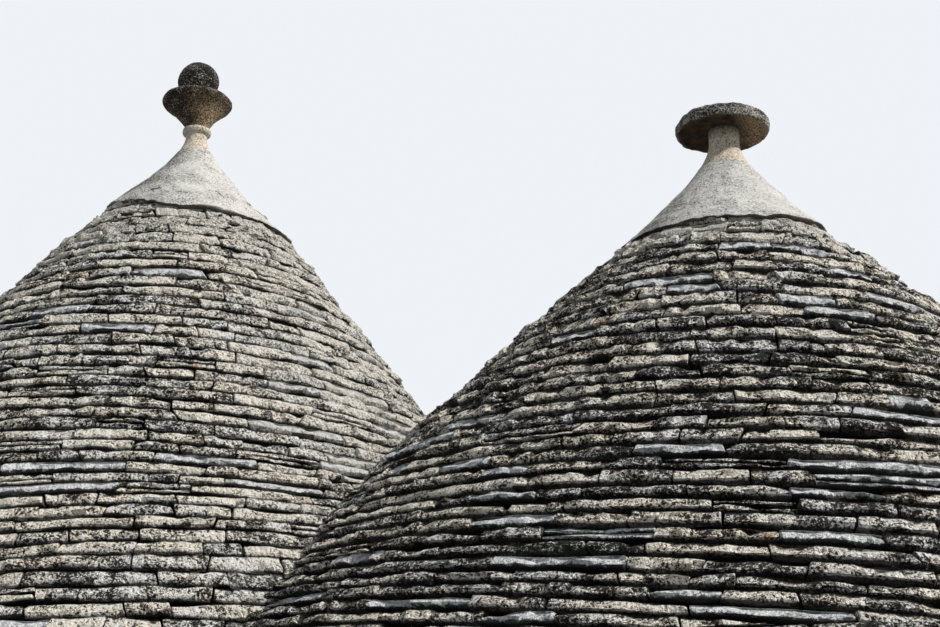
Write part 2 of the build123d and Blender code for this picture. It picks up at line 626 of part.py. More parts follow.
# Left finial: a collar round the neck, a flaring bowl on it and a ball seated in the bowl
BOWL_Z = CONE_FOOT + LEFT.rise + LEFT.cap_height
BOWL_HEIGHT = BOWL_FLARE_HEIGHT + BOWL_SHOULDER_HEIGHT
BALL_Z = BOWL_Z + BOWL_HEIGHT - BALL_SINK + BALL_RADIUS
ball_latitudes = [radians(BALL_POLE) * (2 * band / BALL_BANDS - 1) for band in range(BALL_BANDS + 1)]
ball_stone = turned(LEFT.x, BALL_Z, ROUND_SIDES, [
    (BALL_RADIUS * cos(latitude), BALL_RADIUS * sin(latitude)) for latitude in ball_latitudes
])
with BuildPart() as ball:
    add(ball_stone)
save(ball.part, "left_finial_ball")

bowl_stone = turned(LEFT.x, BOWL_Z, ROUND_SIDES, [
    (LEFT.neck, 0),
    (LEFT.neck, BOWL_FOOT_HEIGHT),
    (BOWL_RADIUS, BOWL_FLARE_HEIGHT - BOWL_RIM / 2),
    (BOWL_RADIUS, BOWL_FLARE_HEIGHT + BOWL_RIM / 2),
    (BOWL_MOUTH_RADIUS, BOWL_HEIGHT),
])
with BuildPart() as bowl:
    add(bowl_stone)
    add(ball.part, mode=Mode.SUBTRACT)
save(bowl.part, "left_finial_bowl")

with BuildPart() as collar:
    with BuildSketch(Plane.XY.offset(BOWL_Z)):
        with Locations((LEFT.x, 0)):
            RegularPolygon(LEFT.neck + COLLAR_WIDTH, ROUND_SIDES)
            RegularPolygon(LEFT.neck, ROUND_SIDES, mode=Mode.SUBTRACT)
    extrude(amount=-COLLAR_HEIGHT)
save(collar.part, "left_finial_collar")
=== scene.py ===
import bmesh
import bpy
import numpy as np
from mathutils import Matrix


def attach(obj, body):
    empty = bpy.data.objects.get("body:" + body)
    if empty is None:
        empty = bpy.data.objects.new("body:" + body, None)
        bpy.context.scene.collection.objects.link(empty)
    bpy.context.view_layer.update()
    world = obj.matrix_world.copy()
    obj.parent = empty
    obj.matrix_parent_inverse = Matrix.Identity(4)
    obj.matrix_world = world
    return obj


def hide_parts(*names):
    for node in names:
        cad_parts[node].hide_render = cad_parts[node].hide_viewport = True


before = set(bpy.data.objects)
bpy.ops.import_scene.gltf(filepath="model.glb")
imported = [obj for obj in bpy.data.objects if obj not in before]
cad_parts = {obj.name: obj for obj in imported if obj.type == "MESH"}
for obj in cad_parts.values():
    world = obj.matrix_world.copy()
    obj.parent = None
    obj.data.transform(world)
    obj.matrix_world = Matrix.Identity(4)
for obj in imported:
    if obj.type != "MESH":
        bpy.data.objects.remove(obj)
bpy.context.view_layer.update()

# Walls: limestone rubble, roughly squared, laid in courses with lime mortar and limewashed on the outside.
# The CAD walls are the mortar and the core; each block stands a little proud of them.
AXIS_X = 1.5               # from the middle to the cones' axes, the doorway, and the front and back windows
WALL_HALF_LENGTH = 4.4
WALL_HALF_DEPTH = 2.9
WALL_CORNER = 1.5
WALL_BEDS = np.array([0, 0.188, 0.376, 0.564, 0.752, 0.94, 1.108, 1.276, 1.444, 1.612, 1.78, 1.955, 2.13])
BLOCK_LENGTH = 0.40
BLOCK_DEPTH = 0.10
BLOCK_PROUD = 0.016
DOOR_STONE_HALF = 0.71
DOOR_STONE_GAP = 0.012     # between the dressed stones and the blocks
DOOR_SPRING = 1.4
WINDOW_HOLE_HALF = 0.37
WINDOW_HOLE_LOW = 0.94
WINDOW_HOLE_HIGH = 1.78


def chance(x, y, z, seed):
    """A random value from -1 to 1 for each three whole numbers."""
    code = x * 374761393 + y * 668265263 + z * 2147483647 + seed * 974711
    code = (code ^ (code >> 13)) * 1274126177
    code = code ^ (code >> 16)
    return (code & 65535) / 32767.5 - 1


def cloud(points, size, seed):
    """Smooth random heights from -1 to 1. Each corner of a lattice of that size gets a random value, and
    between corners the values are blended along each axis by 3t^2 - 2t^3."""
    scaled = np.asarray(points, float) / size
    cell = np.floor(scaled).astype(np.int64)
    part = scaled - cell
    part = part * part * (3 - 2 * part)
    total = np.zeros(scaled.shape[:-1])
    for corner in np.ndindex(2, 2, 2):
        x, y, z = (cell[..., axis] + corner[axis] for axis in range(3))
        weight = np.ones(scaled.shape[:-1])
        for axis in range(3):
            weight = weight * (part[..., axis] if corner[axis] else 1 - part[..., axis])
        total = total + weight * chance(x, y, z, seed)
    return total


def new_piece(name, points, face_sets, finish, marks=None, crease=40):
    """A mesh object from points and arrays of faces, smooth up to a crease angle in degrees.
    marks are values from 0 to 1, one to a point, which the finish reads by their names."""
    loops = np.concatenate([faces.ravel() for faces in face_sets])
    sizes = np.concatenate([np.full(len(faces), faces.shape[1]) for faces in face_sets])
    mesh = bpy.data.meshes.new(name)
    mesh.vertices.add(len(points))
    mesh.vertices.foreach_set("co", points.astype(np.float32).ravel())
    mesh.loops.add(len(loops))
    mesh.loops.foreach_set("vertex_index", loops.astype(np.int32))
    mesh.polygons.add(len(sizes))
    mesh.polygons.foreach_set("loop_start", (np.cumsum(sizes) - sizes).astype(np.int32))
    mesh.update(calc_edges=True)
    for title, values in (marks or {}).items():
        kind, key = ("FLOAT_VECTOR", "vector") if values.ndim == 2 else ("FLOAT", "value")
        mesh.attributes.new(title, kind, "POINT").data.foreach_set(key, values.astype(np.float32).ravel())
    mesh.shade_smooth()
    mesh.set_sharp_from_angle(angle=np.radians(crease))
    mesh.materials.append(finish)
    piece = bpy.data.objects.new(name, mesh)
    bpy.context.scene.collection.objects.link(piece)
    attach(piece, "root")
    return piece


# Places round the section of a stone, from the back of its underside to its front, up its face and back over
# its top: the share of its height, how far behind the face in edge roundings, how much of the face's
# roughness each gets, and how far each follows the waves of the bed below
SECTION_HEIGHT = np.array([0, 0, 0, 0.04, 0.14, 0.36, 0.62, 0.87, 0.96, 1, 1, 1])
SECTION_BEHIND = np.array([0, 0, 1.3, 0.35, 0, 0, 0, 0, 0.35, 1.3, 0, 0])
SECTION_ROUGH = np.array([0, 0, 0.3, 0.8, 1, 1, 1, 1, 0.8, 0.3, 0, 0])
SECTION_BED = np.array([0.4, 0.8, 1, 1, 0.5, 0.1, 0, 0, 0, 0, 0, 0])
SECTION_POINTS = len(SECTION_HEIGHT)
FACET_LENGTH = 0.075       # of the flat facets that a face breaks into
SCOOP_DEPTH = 0.030        # of a fresh break below its ridge
SPLIT_LEAN = 0.024         # of a fresh break's top behind its ridge


def rough_stones(stone, along, edge, grain, undercut, nose):
    """The surface of each stone as a grid of sections: its place along the stone, how far it lies behind the
    face, its share of the height between the beds, and a height to add. stone holds columns of values.

    The section is rounded at its two front edges, and the sections near the ends shrink to round those. The
    face bends back by the nose towards its top and by the undercut towards its foot.
    Clouds move the face in and out and the edges up and down, and take chips out of the edges. Where the
    stone is freshly broken, a wavy ridge runs along the face, which is scooped out below it and leans back
    above it. Where it tapers, its top sinks towards one end."""
    length, ragged, seed, taper = (stone[key] for key in ("length", "ragged", "seed", "taper"))
    thick = stone["high"] - stone["low"]
    shape = (len(length), along + 4, SECTION_POINTS)
    reach = length[:, :, 0] / 2
    inner = (reach - 1.2 * edge) * np.linspace(-1, 1, along)
    s = np.concatenate([-reach, -reach + 0.35 * edge, inner, reach - 0.35 * edge, reach], axis=1)
    s = np.broadcast_to(s[:, :, None], shape)
    shrink = np.zeros((1, along + 4, 1))
    shrink[0, [0, -1]] = 1
    shrink[0, [1, -2]] = 0.35
    share = np.broadcast_to(SECTION_HEIGHT, shape)
    place = np.stack([s, share * thick + seed, np.broadcast_to(seed * 1.7, shape)], -1)
    line = np.stack([s, np.broadcast_to(seed, shape), np.zeros(shape)], -1)

    ridge = 0.55 + 0.25 * cloud(line, 0.09, 23) + 0.14 * cloud(line, 0.03, 47)
    facet_s = (s + 0.03 * cloud(place, 0.05, 43)) / FACET_LENGTH + seed
    facet = np.floor(facet_s).astype(np.int64)
    upper = (share > ridge).astype(np.int64)
    whole_seed = np.floor(seed * 7).astype(np.int64)
    tilt = chance(facet, upper, whole_seed, 2) * (facet_s - facet - 0.5) * 2.4
    facets = chance(facet, upper, whole_seed, 1) + tilt
    bumps = 0.9 * (cloud(place, 0.085, 3) + facets + cloud(place, 0.034, 5) + cloud(place, 0.017, 7))
    pillow = (2 * np.abs(share - 0.5)) ** 2.5 * edge * 0.5
    behind = edge * (SECTION_BEHIND + shrink) + (pillow - grain * bumps) * SECTION_ROUGH
    front = np.maximum(SECTION_ROUGH, SECTION_BED)
    foot = np.clip((0.33 - share) / 0.33, 0, 1) ** 0.8 * (1 - 0.8 * stone["lime"])
    head = np.clip((share - 0.4) / 0.6, 0, 1) ** 1.7
    behind += undercut * foot * (1 + 0.7 * cloud(line, 0.1, 25)) * front
    behind += nose * head * (1 + 0.6 * cloud(line, 0.08, 27)) * front
    below = np.clip((ridge - share) / ridge, 0, 1) ** 0.6
    above = np.clip((share - ridge) / (1 - ridge), 0, 1)
    scoop = 1 - 2 * np.abs(cloud(line, 0.07, 29))
    split = SCOOP_DEPTH * below * (0.3 + 0.7 * scoop)
    split += (SPLIT_LEAN + 0.010 * chance(facet, upper + 5, whole_seed, 9)) * above
    behind += stone["fresh"] * split * front
    chip_low = np.clip(cloud(line, 0.055, 31) - 0.4, 0, 1) * 7 * ragged
    chip_high = np.clip(cloud(line, 0.065, 37) - 0.45, 0, 1) * 7 * ragged
    chipped = SECTION_BED * SECTION_ROUGH
    behind += chip_low * chipped + chip_high * chipped[::-1]
    behind[:, :, [0, -1]] = stone["depth"]
    behind[:, :, [1, -2]] = 0.35 * stone["depth"]

    bed_high = SECTION_BED[::-1]
    wave_low, wave_high = (
        np.maximum(0.65 * cloud(line, 0.12, first) + 0.35 * cloud(line, 0.04, first + 2), -0.15)
        for first in (11, 17)
    )
    rise = ragged * (wave_low * SECTION_BED - wave_high * bed_high)
    rise += shrink * edge * 0.45 * (SECTION_BED - bed_high)
    sink = np.abs(taper) * np.clip(2 * s / length * np.sign(taper), 0, 1) ** 1.5
    return s, behind, share, rise - sink * thick * bed_high


def stone_faces(count, sections):
    """Quads between neighbouring sections of each stone, and one face over each end, all facing out."""
    grid = np.arange(sections * SECTION_POINTS).reshape(sections, SECTION_POINTS)
    turn = np.roll(np.arange(SECTION_POINTS), -1)
    quads = np.stack([grid[:-1], grid[1:], grid[1:, turn], grid[:-1, turn]], -1).reshape(-1, 4)
    first = (np.arange(count) * grid.size)[:, None]
    ends = np.concatenate([grid[0] + first, grid[-1][::-1] + first])
    return [(quads[None] + first[:, :, None]).reshape(-1, 4), ends]


def outline(run, half_length, half_depth, corner):
    """Point and outward direction on a rounded rectangle, at a run anticlockwise from the middle of its
    front. Its straight sides go by their length, and its corners by their arc; equal sizes make it a
    circle."""
    side_x = 2 * (half_length - corner)
    side_y = 2 * (half_depth - corner)
    arc = np.pi / 2 * corner
    t = np.mod(run + side_x / 2, 2 * side_x + 2 * side_y + 4 * arc)
    x, y, out_x, out_y = np.zeros((4, *t.shape))
    start = np.zeros(np.shape(corner))
    for quarter, (along_x, along_y) in enumerate(((1, 0), (0, 1), (-1, 0), (0, -1))):
        side = side_x if along_x else side_y
        on_side = (t >= start) & (t < start + side)
        reach = t - start - side / 2
        x = np.where(on_side, along_x * reach + along_y * half_length, x)
        y = np.where(on_side, along_y * reach - along_x * half_depth, y)
        out_x = np.where(on_side, along_y, out_x)
        out_y = np.where(on_side, -along_x, out_y)
        start = start + side
        on_arc = (t >= start) & (t < start + arc)
        angle = (t - start) / corner + np.pi / 2 * (quarter - 1)
        centre_x = (along_x + along_y) * (half_length - corner)
        centre_y = (along_y - along_x) * (half_depth - corner)
        x = np.where(on_arc, centre_x + corner * np.cos(angle), x)
        y = np.where(on_arc, centre_y + corner * np.sin(angle), y)
        out_x = np.where(on_arc, np.cos(angle), out_x)
        out_y = np.where(on_arc, np.sin(angle), out_y)
        start = start + arc
    return x, y, out_x, out_y


def outline_length(half_length, half_depth, corner):
    """The length once round a rounded rectangle."""
    return 4 * (half_length + half_depth - 2 * corner) + 2 * np.pi * corner


def course(rng, low, high, half_length, half_depth, corner, length, depth, proud, jitter, ragged, spans=None,
           x=0.0, slope=0.0, fresh_share=0.0, taper_share=0.1, joint=0.004, gap=0.004):
    """The stones of one course, in stretches of the outline or all round it. Random lengths are scaled so
    that they fill each stretch, and neighbours share the lean of the joint between them."""
    whole = outline_length(half_length, half_depth, corner)
    start = rng.uniform(0, whole)
    rows = []
    for begin, end in spans or [(start, start + whole)]:
        count = max(1, int(round((end - begin) / length)))
        parts = rng.gamma(5, 1, count) + 1.6
        parts *= (end - begin) / parts.sum()
        edges = begin + np.concatenate([[0], np.cumsum(parts)])
        leans = rng.normal(0, 0.22, count + 1)
        rows.append(np.stack([(edges[:-1] + edges[1:]) / 2, parts, leans[:-1], leans[1:]], -1))
    run, part, lean_near, lean_far = np.concatenate(rows).T
    count = len(run)
    fresh = (rng.random(count) < fresh_share * (part / length) ** 1.5) * rng.uniform(0.55, 1.0, count)
    taper = np.where(rng.random(count) < taper_share, rng.uniform(0.15, 0.5, count), 0)
    stones = {
        "run": run, "lean_near": lean_near, "lean_far": lean_far, "fresh": fresh,
        "length": part - 2 * joint * rng.uniform(0.5, 1.7, count),
        "depth": depth * rng.uniform(0.9, 1.1, count),
        "taper": taper * rng.choice([-1, 1], count),
        "ragged": ragged * rng.uniform(0.6, 1.6, count),
        "proud": proud + jitter * rng.uniform(-1, 1, count),
        "yaw": rng.normal(0, 0.012, count),
        "gap_near": gap * rng.uniform(0.3, 2.0, count),
        "gap_far": gap * rng.uniform(0.3, 2.0, count),
        "tone": rng.random(count), "seed": rng.uniform(0, 900, count),
    }
    alike = {"low": low, "high": high, "half_length": half_length, "half_depth": half_depth, "corner": corner,
             "x": x, "slope": slope, "layer_low": 0.0, "layer_high": 1.0, "lime": 0.0}
    return stones | {key: np.full(count, float(value)) for key, value in alike.items()}


def together(courses):
    """The stones of several courses as one set."""
    return {key: np.concatenate([stones[key] for stones in courses]) for key in courses[0]}


def pick(stones, chosen):
    """The chosen ones of a set of stones."""
    return {key: values[chosen] for key, values in stones.items()}


def lay(name, stones, finish, along, edge=0.011, grain=0.004, undercut=0.0, nose=0.0, lean=0.8,
        wave=0.0, flat=0.0, sweep=None, lowest=0.0, shade=0.5, open_top=0.0, crease=48):
    """Stones in place round their outlines. The bed lines wave by two clouds, the face leans back with the
    slope of the roof, flat pulls the middle of a stone in towards its straight chord, and sweep tells how far
    the beds are raised at a place along the outline and a height. No stone reaches below the lowest height.
    shade is how dark the lower part of each face is painted, partly damp and partly painted shade, and
    open_top how much of the joint mark, which is mostly painted shade, is left off its open top."""
    stone = {key: values[:, None, None] for key, values in stones.items()}
    low, high, length, corner = (stone[key] for key in ("low", "high", "length", "corner"))
    s, behind, share, rise = rough_stones(stone, along, edge, grain, undercut, nose)
    part = s / length + 0.5
    s = s + (high - low) * (share - 0.5) * (stone["lean_near"] * (1 - part) + stone["lean_far"] * part)
    x, y, out_x, out_y = outline(stone["run"] + s, stone["half_length"], stone["half_depth"], corner)
    beds = []
    for bed in (low, high):
        at = np.stack([x, y, np.broadcast_to(bed, x.shape)], -1)
        shift = sweep(x, bed) if sweep else 0.0
        beds.append(bed + shift + wave * (0.7 * cloud(at, 0.7, 41) + 0.3 * cloud(at, 0.22, 43)))
    gap = stone["gap_near"] * (1 - part) + stone["gap_far"] * part
    layer = stone["layer_low"] + share * (stone["layer_high"] - stone["layer_low"])
    z = np.maximum(beds[0] + layer * (beds[1] - beds[0] - gap) + rise, lowest)
    chord = flat * ((length / 2) ** 2 - s**2) / (2 * corner)
    off = stone["proud"] + stone["yaw"] * s - behind - np.maximum(chord, 0)
    off = off + stone["slope"] * (lean * (z - (low + high) / 2 - shift) + shift)
    points = np.stack([stone["x"] + x + out_x * off, y + out_y * off, z], -1)

    # Painted shade for the joint mark: it darkens each face near its top and bottom edges and where the face
    # lies back in a recess. By shade it darkens the lower part of each face, partly painted shade and partly
    # damp.
    rim_shade = np.clip((np.abs(share - 0.5) - 0.32) / 0.18, 0, 1) ** 2
    joint = np.clip(0.65 * rim_shade + np.clip(behind - 1.2 * edge, 0, 0.03) / 0.03, 0, 1)
    joint = joint * (1 - open_top * (share > 0.99)) * (1 - stone["fresh"])
    low_shade = np.clip((0.36 - share) / 0.27, 0, 1) * shade
    marks = {"joint": np.maximum(joint, low_shade) * (1 - 0.55 * stone["lime"]), "height": share}
    marks |= {key: stone[key] for key in ("tone", "fresh", "lime")}
    marks = {key: np.broadcast_to(values, z.shape).ravel() for key, values in marks.items()}
    faces = stone_faces(len(length), along + 4)
    return new_piece(name, points.reshape(-1, 3), faces, finish, marks, crease)


class Shade:
    """A value or colour that a shader node gives. Sums, differences and products of shades are nodes too."""

    def __init__(self, socket):
        self.socket = socket

    def worked(self, kind, other):
        return Shade(node(self, "ShaderNodeMath", {0: self, 1: other}, operation=kind).outputs[0])

    def __add__(self, other):
        return self.worked("ADD", other)

    def __sub__(self, other):
        return self.worked("SUBTRACT", other)

    def __mul__(self, other):
        return self.worked("MULTIPLY", other)


def node(owner, kind, values=None, **settings):
    """A shader node in a tree, or in the tree of a shade. Each input is linked to a shade or given a
    value."""
    tree = owner.socket.id_data if isinstance(owner, Shade) else owner
    made = tree.nodes.new(kind)
    for name, value in settings.items():
        setattr(made, name, value)
    for name, value in (values or {}).items():
        if isinstance(value, Shade):
            tree.links.new(value.socket, made.inputs[name])
        else:
            made.inputs[name].default_value = value
    return made


def ramp(source, *stops):
    """A colour or grey ramp over the source, from stops of (place, colour or grey)."""
    made = node(source, "ShaderNodeValToRGB", {"Fac": source})
    while len(made.color_ramp.elements) < len(stops):
        made.color_ramp.elements.new(0.5)
    for element, (at, colour) in zip(made.color_ramp.elements, stops):
        element.position = at
        element.color = (*colour, 1) if isinstance(colour, tuple) else (colour, colour, colour, 1)
    return Shade(made.outputs["Color"])


def noise(place, scale, detail=4, rough=0.55, twist=0):
    """A cloud of the shader at a place, from 0 to 1 and mostly near 0.5; scale is its grains to the metre."""
    values = {"Vector": place, "Scale": scale, "Detail": detail, "Roughness": rough, "Distortion": twist}
    return Shade(node(place, "ShaderNodeTexNoise", values).outputs["Fac"])


def blend(amount, under, over):
    """One colour laid over another by an amount."""
    under, over = (colour if isinstance(colour, Shade) else (*colour, 1) for colour in (under, over))
    return Shade(node(amount, "ShaderNodeMix", {0: amount, 6: under, 7: over}, data_type="RGBA").outputs[2])


def mark(place, name):
    """A mark that the points of a piece carry."""
    return Shade(node(place, "ShaderNodeAttribute", attribute_name=name).outputs["Fac"])


def height_of(place):
    """The height of a place over the ground."""
    return Shade(node(place, "ShaderNodeSeparateXYZ", {"Vector": place}).outputs["Z"])


def new_finish(name):
    """An empty procedural finish, and the place on the object in metres."""
    made = bpy.data.materials.new(name)
    made.use_nodes = True
    made.node_tree.nodes.clear()
    return made, Shade(node(made.node_tree, "ShaderNodeTexCoord").outputs["Object"])


def surface(colour, roughness, height, strength, distance, specular=0.25, more=None):
    """The shader: colour and roughness, with a bump from a height."""
    bump = node(height, "ShaderNodeBump", {"Height": height, "Strength": strength, "Distance": distance})
    values = {"Base Color": colour, "Roughness": roughness, "Normal": Shade(bump.outputs["Normal"]),
              "Specular IOR Level": specular}
    shader = node(height, "ShaderNodeBsdfPrincipled", values | (more or {}))
    node(height, "ShaderNodeOutputMaterial", {"Surface": Shade(shader.outputs["BSDF"])})


def limewashed_stone():
    """Lime over rough stone: nearly white, thin and rubbed through to the stone on the highest grains,
    darkened in the joints partly by dirt and partly by painted shade, and stained in soft clouds by splashes
    near the ground."""
    made, place = new_finish("limewashed stone")
    wash = ramp(noise(place, 3, 5), (0.3, (0.66, 0.63, 0.57)), (0.7, (0.80, 0.78, 0.73)))
    stone = ramp(noise(place, 22, 5), (0.3, (0.36, 0.32, 0.26)), (0.7, (0.60, 0.55, 0.46)))
    worn = noise(place, 38, 6, 0.65) + mark(place, "tone") * 0.09
    colour = blend(ramp(worn, (0.60, 0), (0.72, 0.8)), wash, stone)
    splash = height_of(place) + noise(place, 5, 5) * 0.6
    colour = blend(ramp(splash, (0.30, 0.6), (0.75, 0)), colour, (0.30, 0.26, 0.20))
    # Joints darkened by the joint mark, partly dirt and partly painted shade.
    colour = blend(mark(place, "joint") * 0.35, colour, (0.36, 0.33, 0.28))
    surface(colour, 0.92, noise(place, 120, 3) + noise(place, 30, 5), 0.45, 0.008)
    return made


def lime_mortar():
    """Sandy lime mortar between the blocks, limewashed with them."""
    made, place = new_finish("lime mortar")
    colour = ramp(noise(place, 6, 5), (0.3, (0.50, 0.47, 0.42)), (0.7, (0.70, 0.67, 0.61)))
    surface(colour, 0.95, noise(place, 90), 0.5, 0.006)
    return made


def dress_node(name, finish):
    """A CAD node keeps its shape and gets this finish."""
    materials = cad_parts[name].data.materials
    materials.clear()
    materials.append(finish)


limewash = limewashed_stone()
mortar = lime_mortar()
for wall in ("left_end_wall", "right_end_wall", "left_front_wall", "left_back_wall", "right_back_wall",
             "door_left_wall", "door_right_wall", "door_head_wall"):
    dress_node(wall, mortar)

whole_round = outline_length(WALL_HALF_LENGTH, WALL_HALF_DEPTH, WALL_CORNER)
window_runs = (whole_round / 4, whole_round / 2 - AXIS_X, whole_round * 3 / 4, whole_round - AXIS_X)
wall_rng = np.random.default_rng(21)
wall_courses = []
for low, high in zip(WALL_BEDS[:-1], WALL_BEDS[1:]):
    holes = []
    if low >= WINDOW_HOLE_LOW and high <= WINDOW_HOLE_HIGH:
        holes += [(run - WINDOW_HOLE_HALF, run + WINDOW_HOLE_HALF) for run in window_runs]
    over_spring = max(low - DOOR_SPRING, 0)
    if over_spring < DOOR_STONE_HALF:
        door_half = np.sqrt(DOOR_STONE_HALF**2 - over_spring**2) + DOOR_STONE_GAP
        holes.append((AXIS_X - door_half, AXIS_X + door_half))
    holes.sort()
    if holes:
        ends = [edge for hole in holes for edge in hole]
        spans = list(zip(ends[1::2], ends[2::2])) + [(ends[-1], ends[0] + whole_round)]
    else:
        spans = None
    wall_courses.append(course(
        wall_rng, low, high, WALL_HALF_LENGTH, WALL_HALF_DEPTH, WALL_CORNER, BLOCK_LENGTH, BLOCK_DEPTH,
        proud=BLOCK_PROUD, jitter=0.006, ragged=0.006, spans=spans, joint=0.007, taper_share=0.06,
    ))
lay("wall_blocks", together(wall_courses), limewash, along=4, edge=0.009, grain=0.007,
    wave=0.012, shade=0.2)

# Eaves: thick slabs that level the walls and hang over them, and on these three rounded courses that carry
# the cones and fill out the corners. Each is a ring of rough slabs bedded dry.
EAVES_LEVEL = 2.13
SLAB_FOOT = 2.2
CONE_FOOT = 2.398
EAVES_HALF_LENGTH = 4.53
EAVES_HALF_DEPTH = 3.03
EAVES_CORNER = 1.63
CORNER_COURSE = 0.066
CORE_BACK = 0.06           # the core's edge behind the slabs' faces
CORE_BEDDED = 0.012        # and inside their beds
CORE_EDGE = 0.26           # how far in from the edge that goes


def limestone(name, age):
    """Weathered limestone, from nearly black lichen through grey to cream grains. A fine cloud gives the
    grains, a coarser one and each stone's own tone make some stones and patches paler, and age makes all of
    it darker. Rust lichen grows in rare blots. A freshly broken face is blue-grey, streaked along its scoops,
    and painted nearly black below its ridge as shade. Lime has run down from the plaster. The joints and the
    lower part of each stone are darkened with a ragged border, partly dirt and partly painted shade."""
    made, place = new_finish(name)
    tone = mark(place, "tone")
    grains = noise(place, 84, 2, 0.75, 0.4)
    value = grains + noise(place, 13, 5, 0.62) * 0.80 + tone * 0.13 - (0.155 + age)
    cream = ramp(value, (0.71, (0.010, 0.009, 0.007)), (0.755, (0.10, 0.085, 0.068)),
                 (0.79, (0.36, 0.32, 0.26)), (0.835, (0.74, 0.66, 0.54)), (0.90, (0.97, 0.92, 0.81)))
    stony = ramp(value, (0.71, (0.010, 0.010, 0.009)), (0.76, (0.10, 0.097, 0.09)),
                 (0.80, (0.34, 0.33, 0.31)), (0.845, (0.68, 0.67, 0.64)), (0.92, (0.95, 0.94, 0.91)))
    hue = noise(place, 3.6, 3) + tone * 0.25
    old = blend(ramp(hue, (0.50, 0), (0.68, 1)), stony, cream)
    rust = ramp(noise(place, 2.7, 4, 0.7, 0.5), (0.66, 0), (0.73, 0.9)) * ramp(value, (0.68, 0), (0.76, 1))
    old = blend(rust, old, (0.44, 0.20, 0.06))

    split = ramp(noise(place, 17, 4, 0.62, 1.2), (0.34, (0.28, 0.284, 0.29)), (0.43, (0.60, 0.61, 0.62)),
                 (0.52, (0.88, 0.885, 0.89)), (0.62, (0.96, 0.96, 0.96)))
    # Painted shade: a fresh break goes nearly black below its wavy ridge.
    over_ridge = mark(place, "height") * 0.7 + noise(place, 26, 4, 0.7) * 0.9
    split = blend(ramp(over_ridge, (0.69, 0.93), (0.76, 0)), split, (0.035, 0.035, 0.036))
    split = blend(ramp(grains, (0.60, 0), (0.66, 0.7)), split, (0.08, 0.077, 0.07))
    colour = blend(ramp(mark(place, "fresh"), (0.3, 0), (0.45, 1)), old, split)

    lime = ramp(grains, (0.42, (0.50, 0.46, 0.39)), (0.56, (0.86, 0.83, 0.76)))
    colour = blend(mark(place, "lime") * ramp(value, (0.66, 0), (0.72, 1)), colour, lime)
    # Painted shade, partly dirt: by the joint mark and a cloud, the joints and lower parts go nearly black
    # with a ragged border.
    joint_dirt_and_shade = mark(place, "joint") + noise(place, 44, 3, 0.7) * 0.9
    colour = blend(ramp(joint_dirt_and_shade, (0.76, 0), (1.04, 1)) * 0.9, colour, (0.016, 0.014, 0.012))
    surface(colour, 0.9, grains * 0.5 + noise(place, 26, 4, 0.7), 1.0, 0.035)
    return made


def merged_copy(names):
    """The meshes of CAD nodes, joined with their doubles merged, as points and triangles."""
    points, faces, first = [], [], 0
    for name in names:
        copy = bmesh.new()
        copy.from_mesh(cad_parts[name].data)
        bmesh.ops.remove_doubles(copy, verts=copy.verts, dist=1e-5)
        bmesh.ops.triangulate(copy, faces=copy.faces)
        copy.verts.index_update()
        points.append(np.array([vertex.co[:] for vertex in copy.verts]))
        faces.append(np.array([[vertex.index for vertex in face.verts] for face in copy.faces]) + first)
        first += len(copy.verts)
        copy.free()
    return np.concatenate(points), np.concatenate(faces)


def beyond(points, half_length, half_depth, corner):
    """How far points lie outside a rounded rectangle, and their outward directions."""
    over_x = np.maximum(np.abs(points[:, 0]) - half_length + corner, 0)
    over_y = np.maximum(np.abs(points[:, 1]) - half_depth + corner, 0)
    reach = np.hypot(over_x, over_y)
    safe = np.maximum(reach, 1e-9)
    out = np.stack([np.sign(points[:, 0]) * over_x / safe, np.sign(points[:, 1]) * over_y / safe], -1)
    return reach - corner, out


slab_stone = limestone("roof slab limestone", 0.02)
eaves_nodes = ("eaves_front", "eaves_back", "eaves_left_end", "eaves_right_end")
core_points, core_faces = merged_copy(eaves_nodes)
outside, outward = beyond(core_points, EAVES_HALF_LENGTH, EAVES_HALF_DEPTH, EAVES_CORNER)
on_edge = outside > -CORE_EDGE
core_points[:, :2] -= np.where(on_edge, CORE_BACK, 0)[:, None] * outward
core_points[:, 2] += np.where(core_points[:, 2] > EAVES_LEVEL + 0.01, -CORE_BEDDED, CORE_BEDDED) * on_edge
new_piece("eaves_core", core_points, [core_faces], slab_stone)

eaves_rng = np.random.default_rng(22)
eaves_courses = [course(
    eaves_rng, EAVES_LEVEL, SLAB_FOOT, EAVES_HALF_LENGTH, EAVES_HALF_DEPTH, EAVES_CORNER, length=0.52,
    depth=0.34, proud=-0.019, jitter=0.006, ragged=0.004, joint=0.005, taper_share=0.0,
)]
for index in range(3):
    back = 0.05 + 0.08 * index
    low = SLAB_FOOT + index * CORNER_COURSE
    eaves_courses.append(course(
        eaves_rng, low, low + CORNER_COURSE, EAVES_HALF_LENGTH - back, EAVES_HALF_DEPTH - back,
        EAVES_CORNER - back + 0.25 * index, length=0.38, depth=0.5, proud=-0.012, jitter=0.012, ragged=0.004,
        slope=-0.6,
    ))
eaves_slabs = lay("eaves_slabs", together(eaves_courses), slab_stone, along=5, lean=0.5,
                  open_top=0.9)
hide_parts(*eaves_nodes)

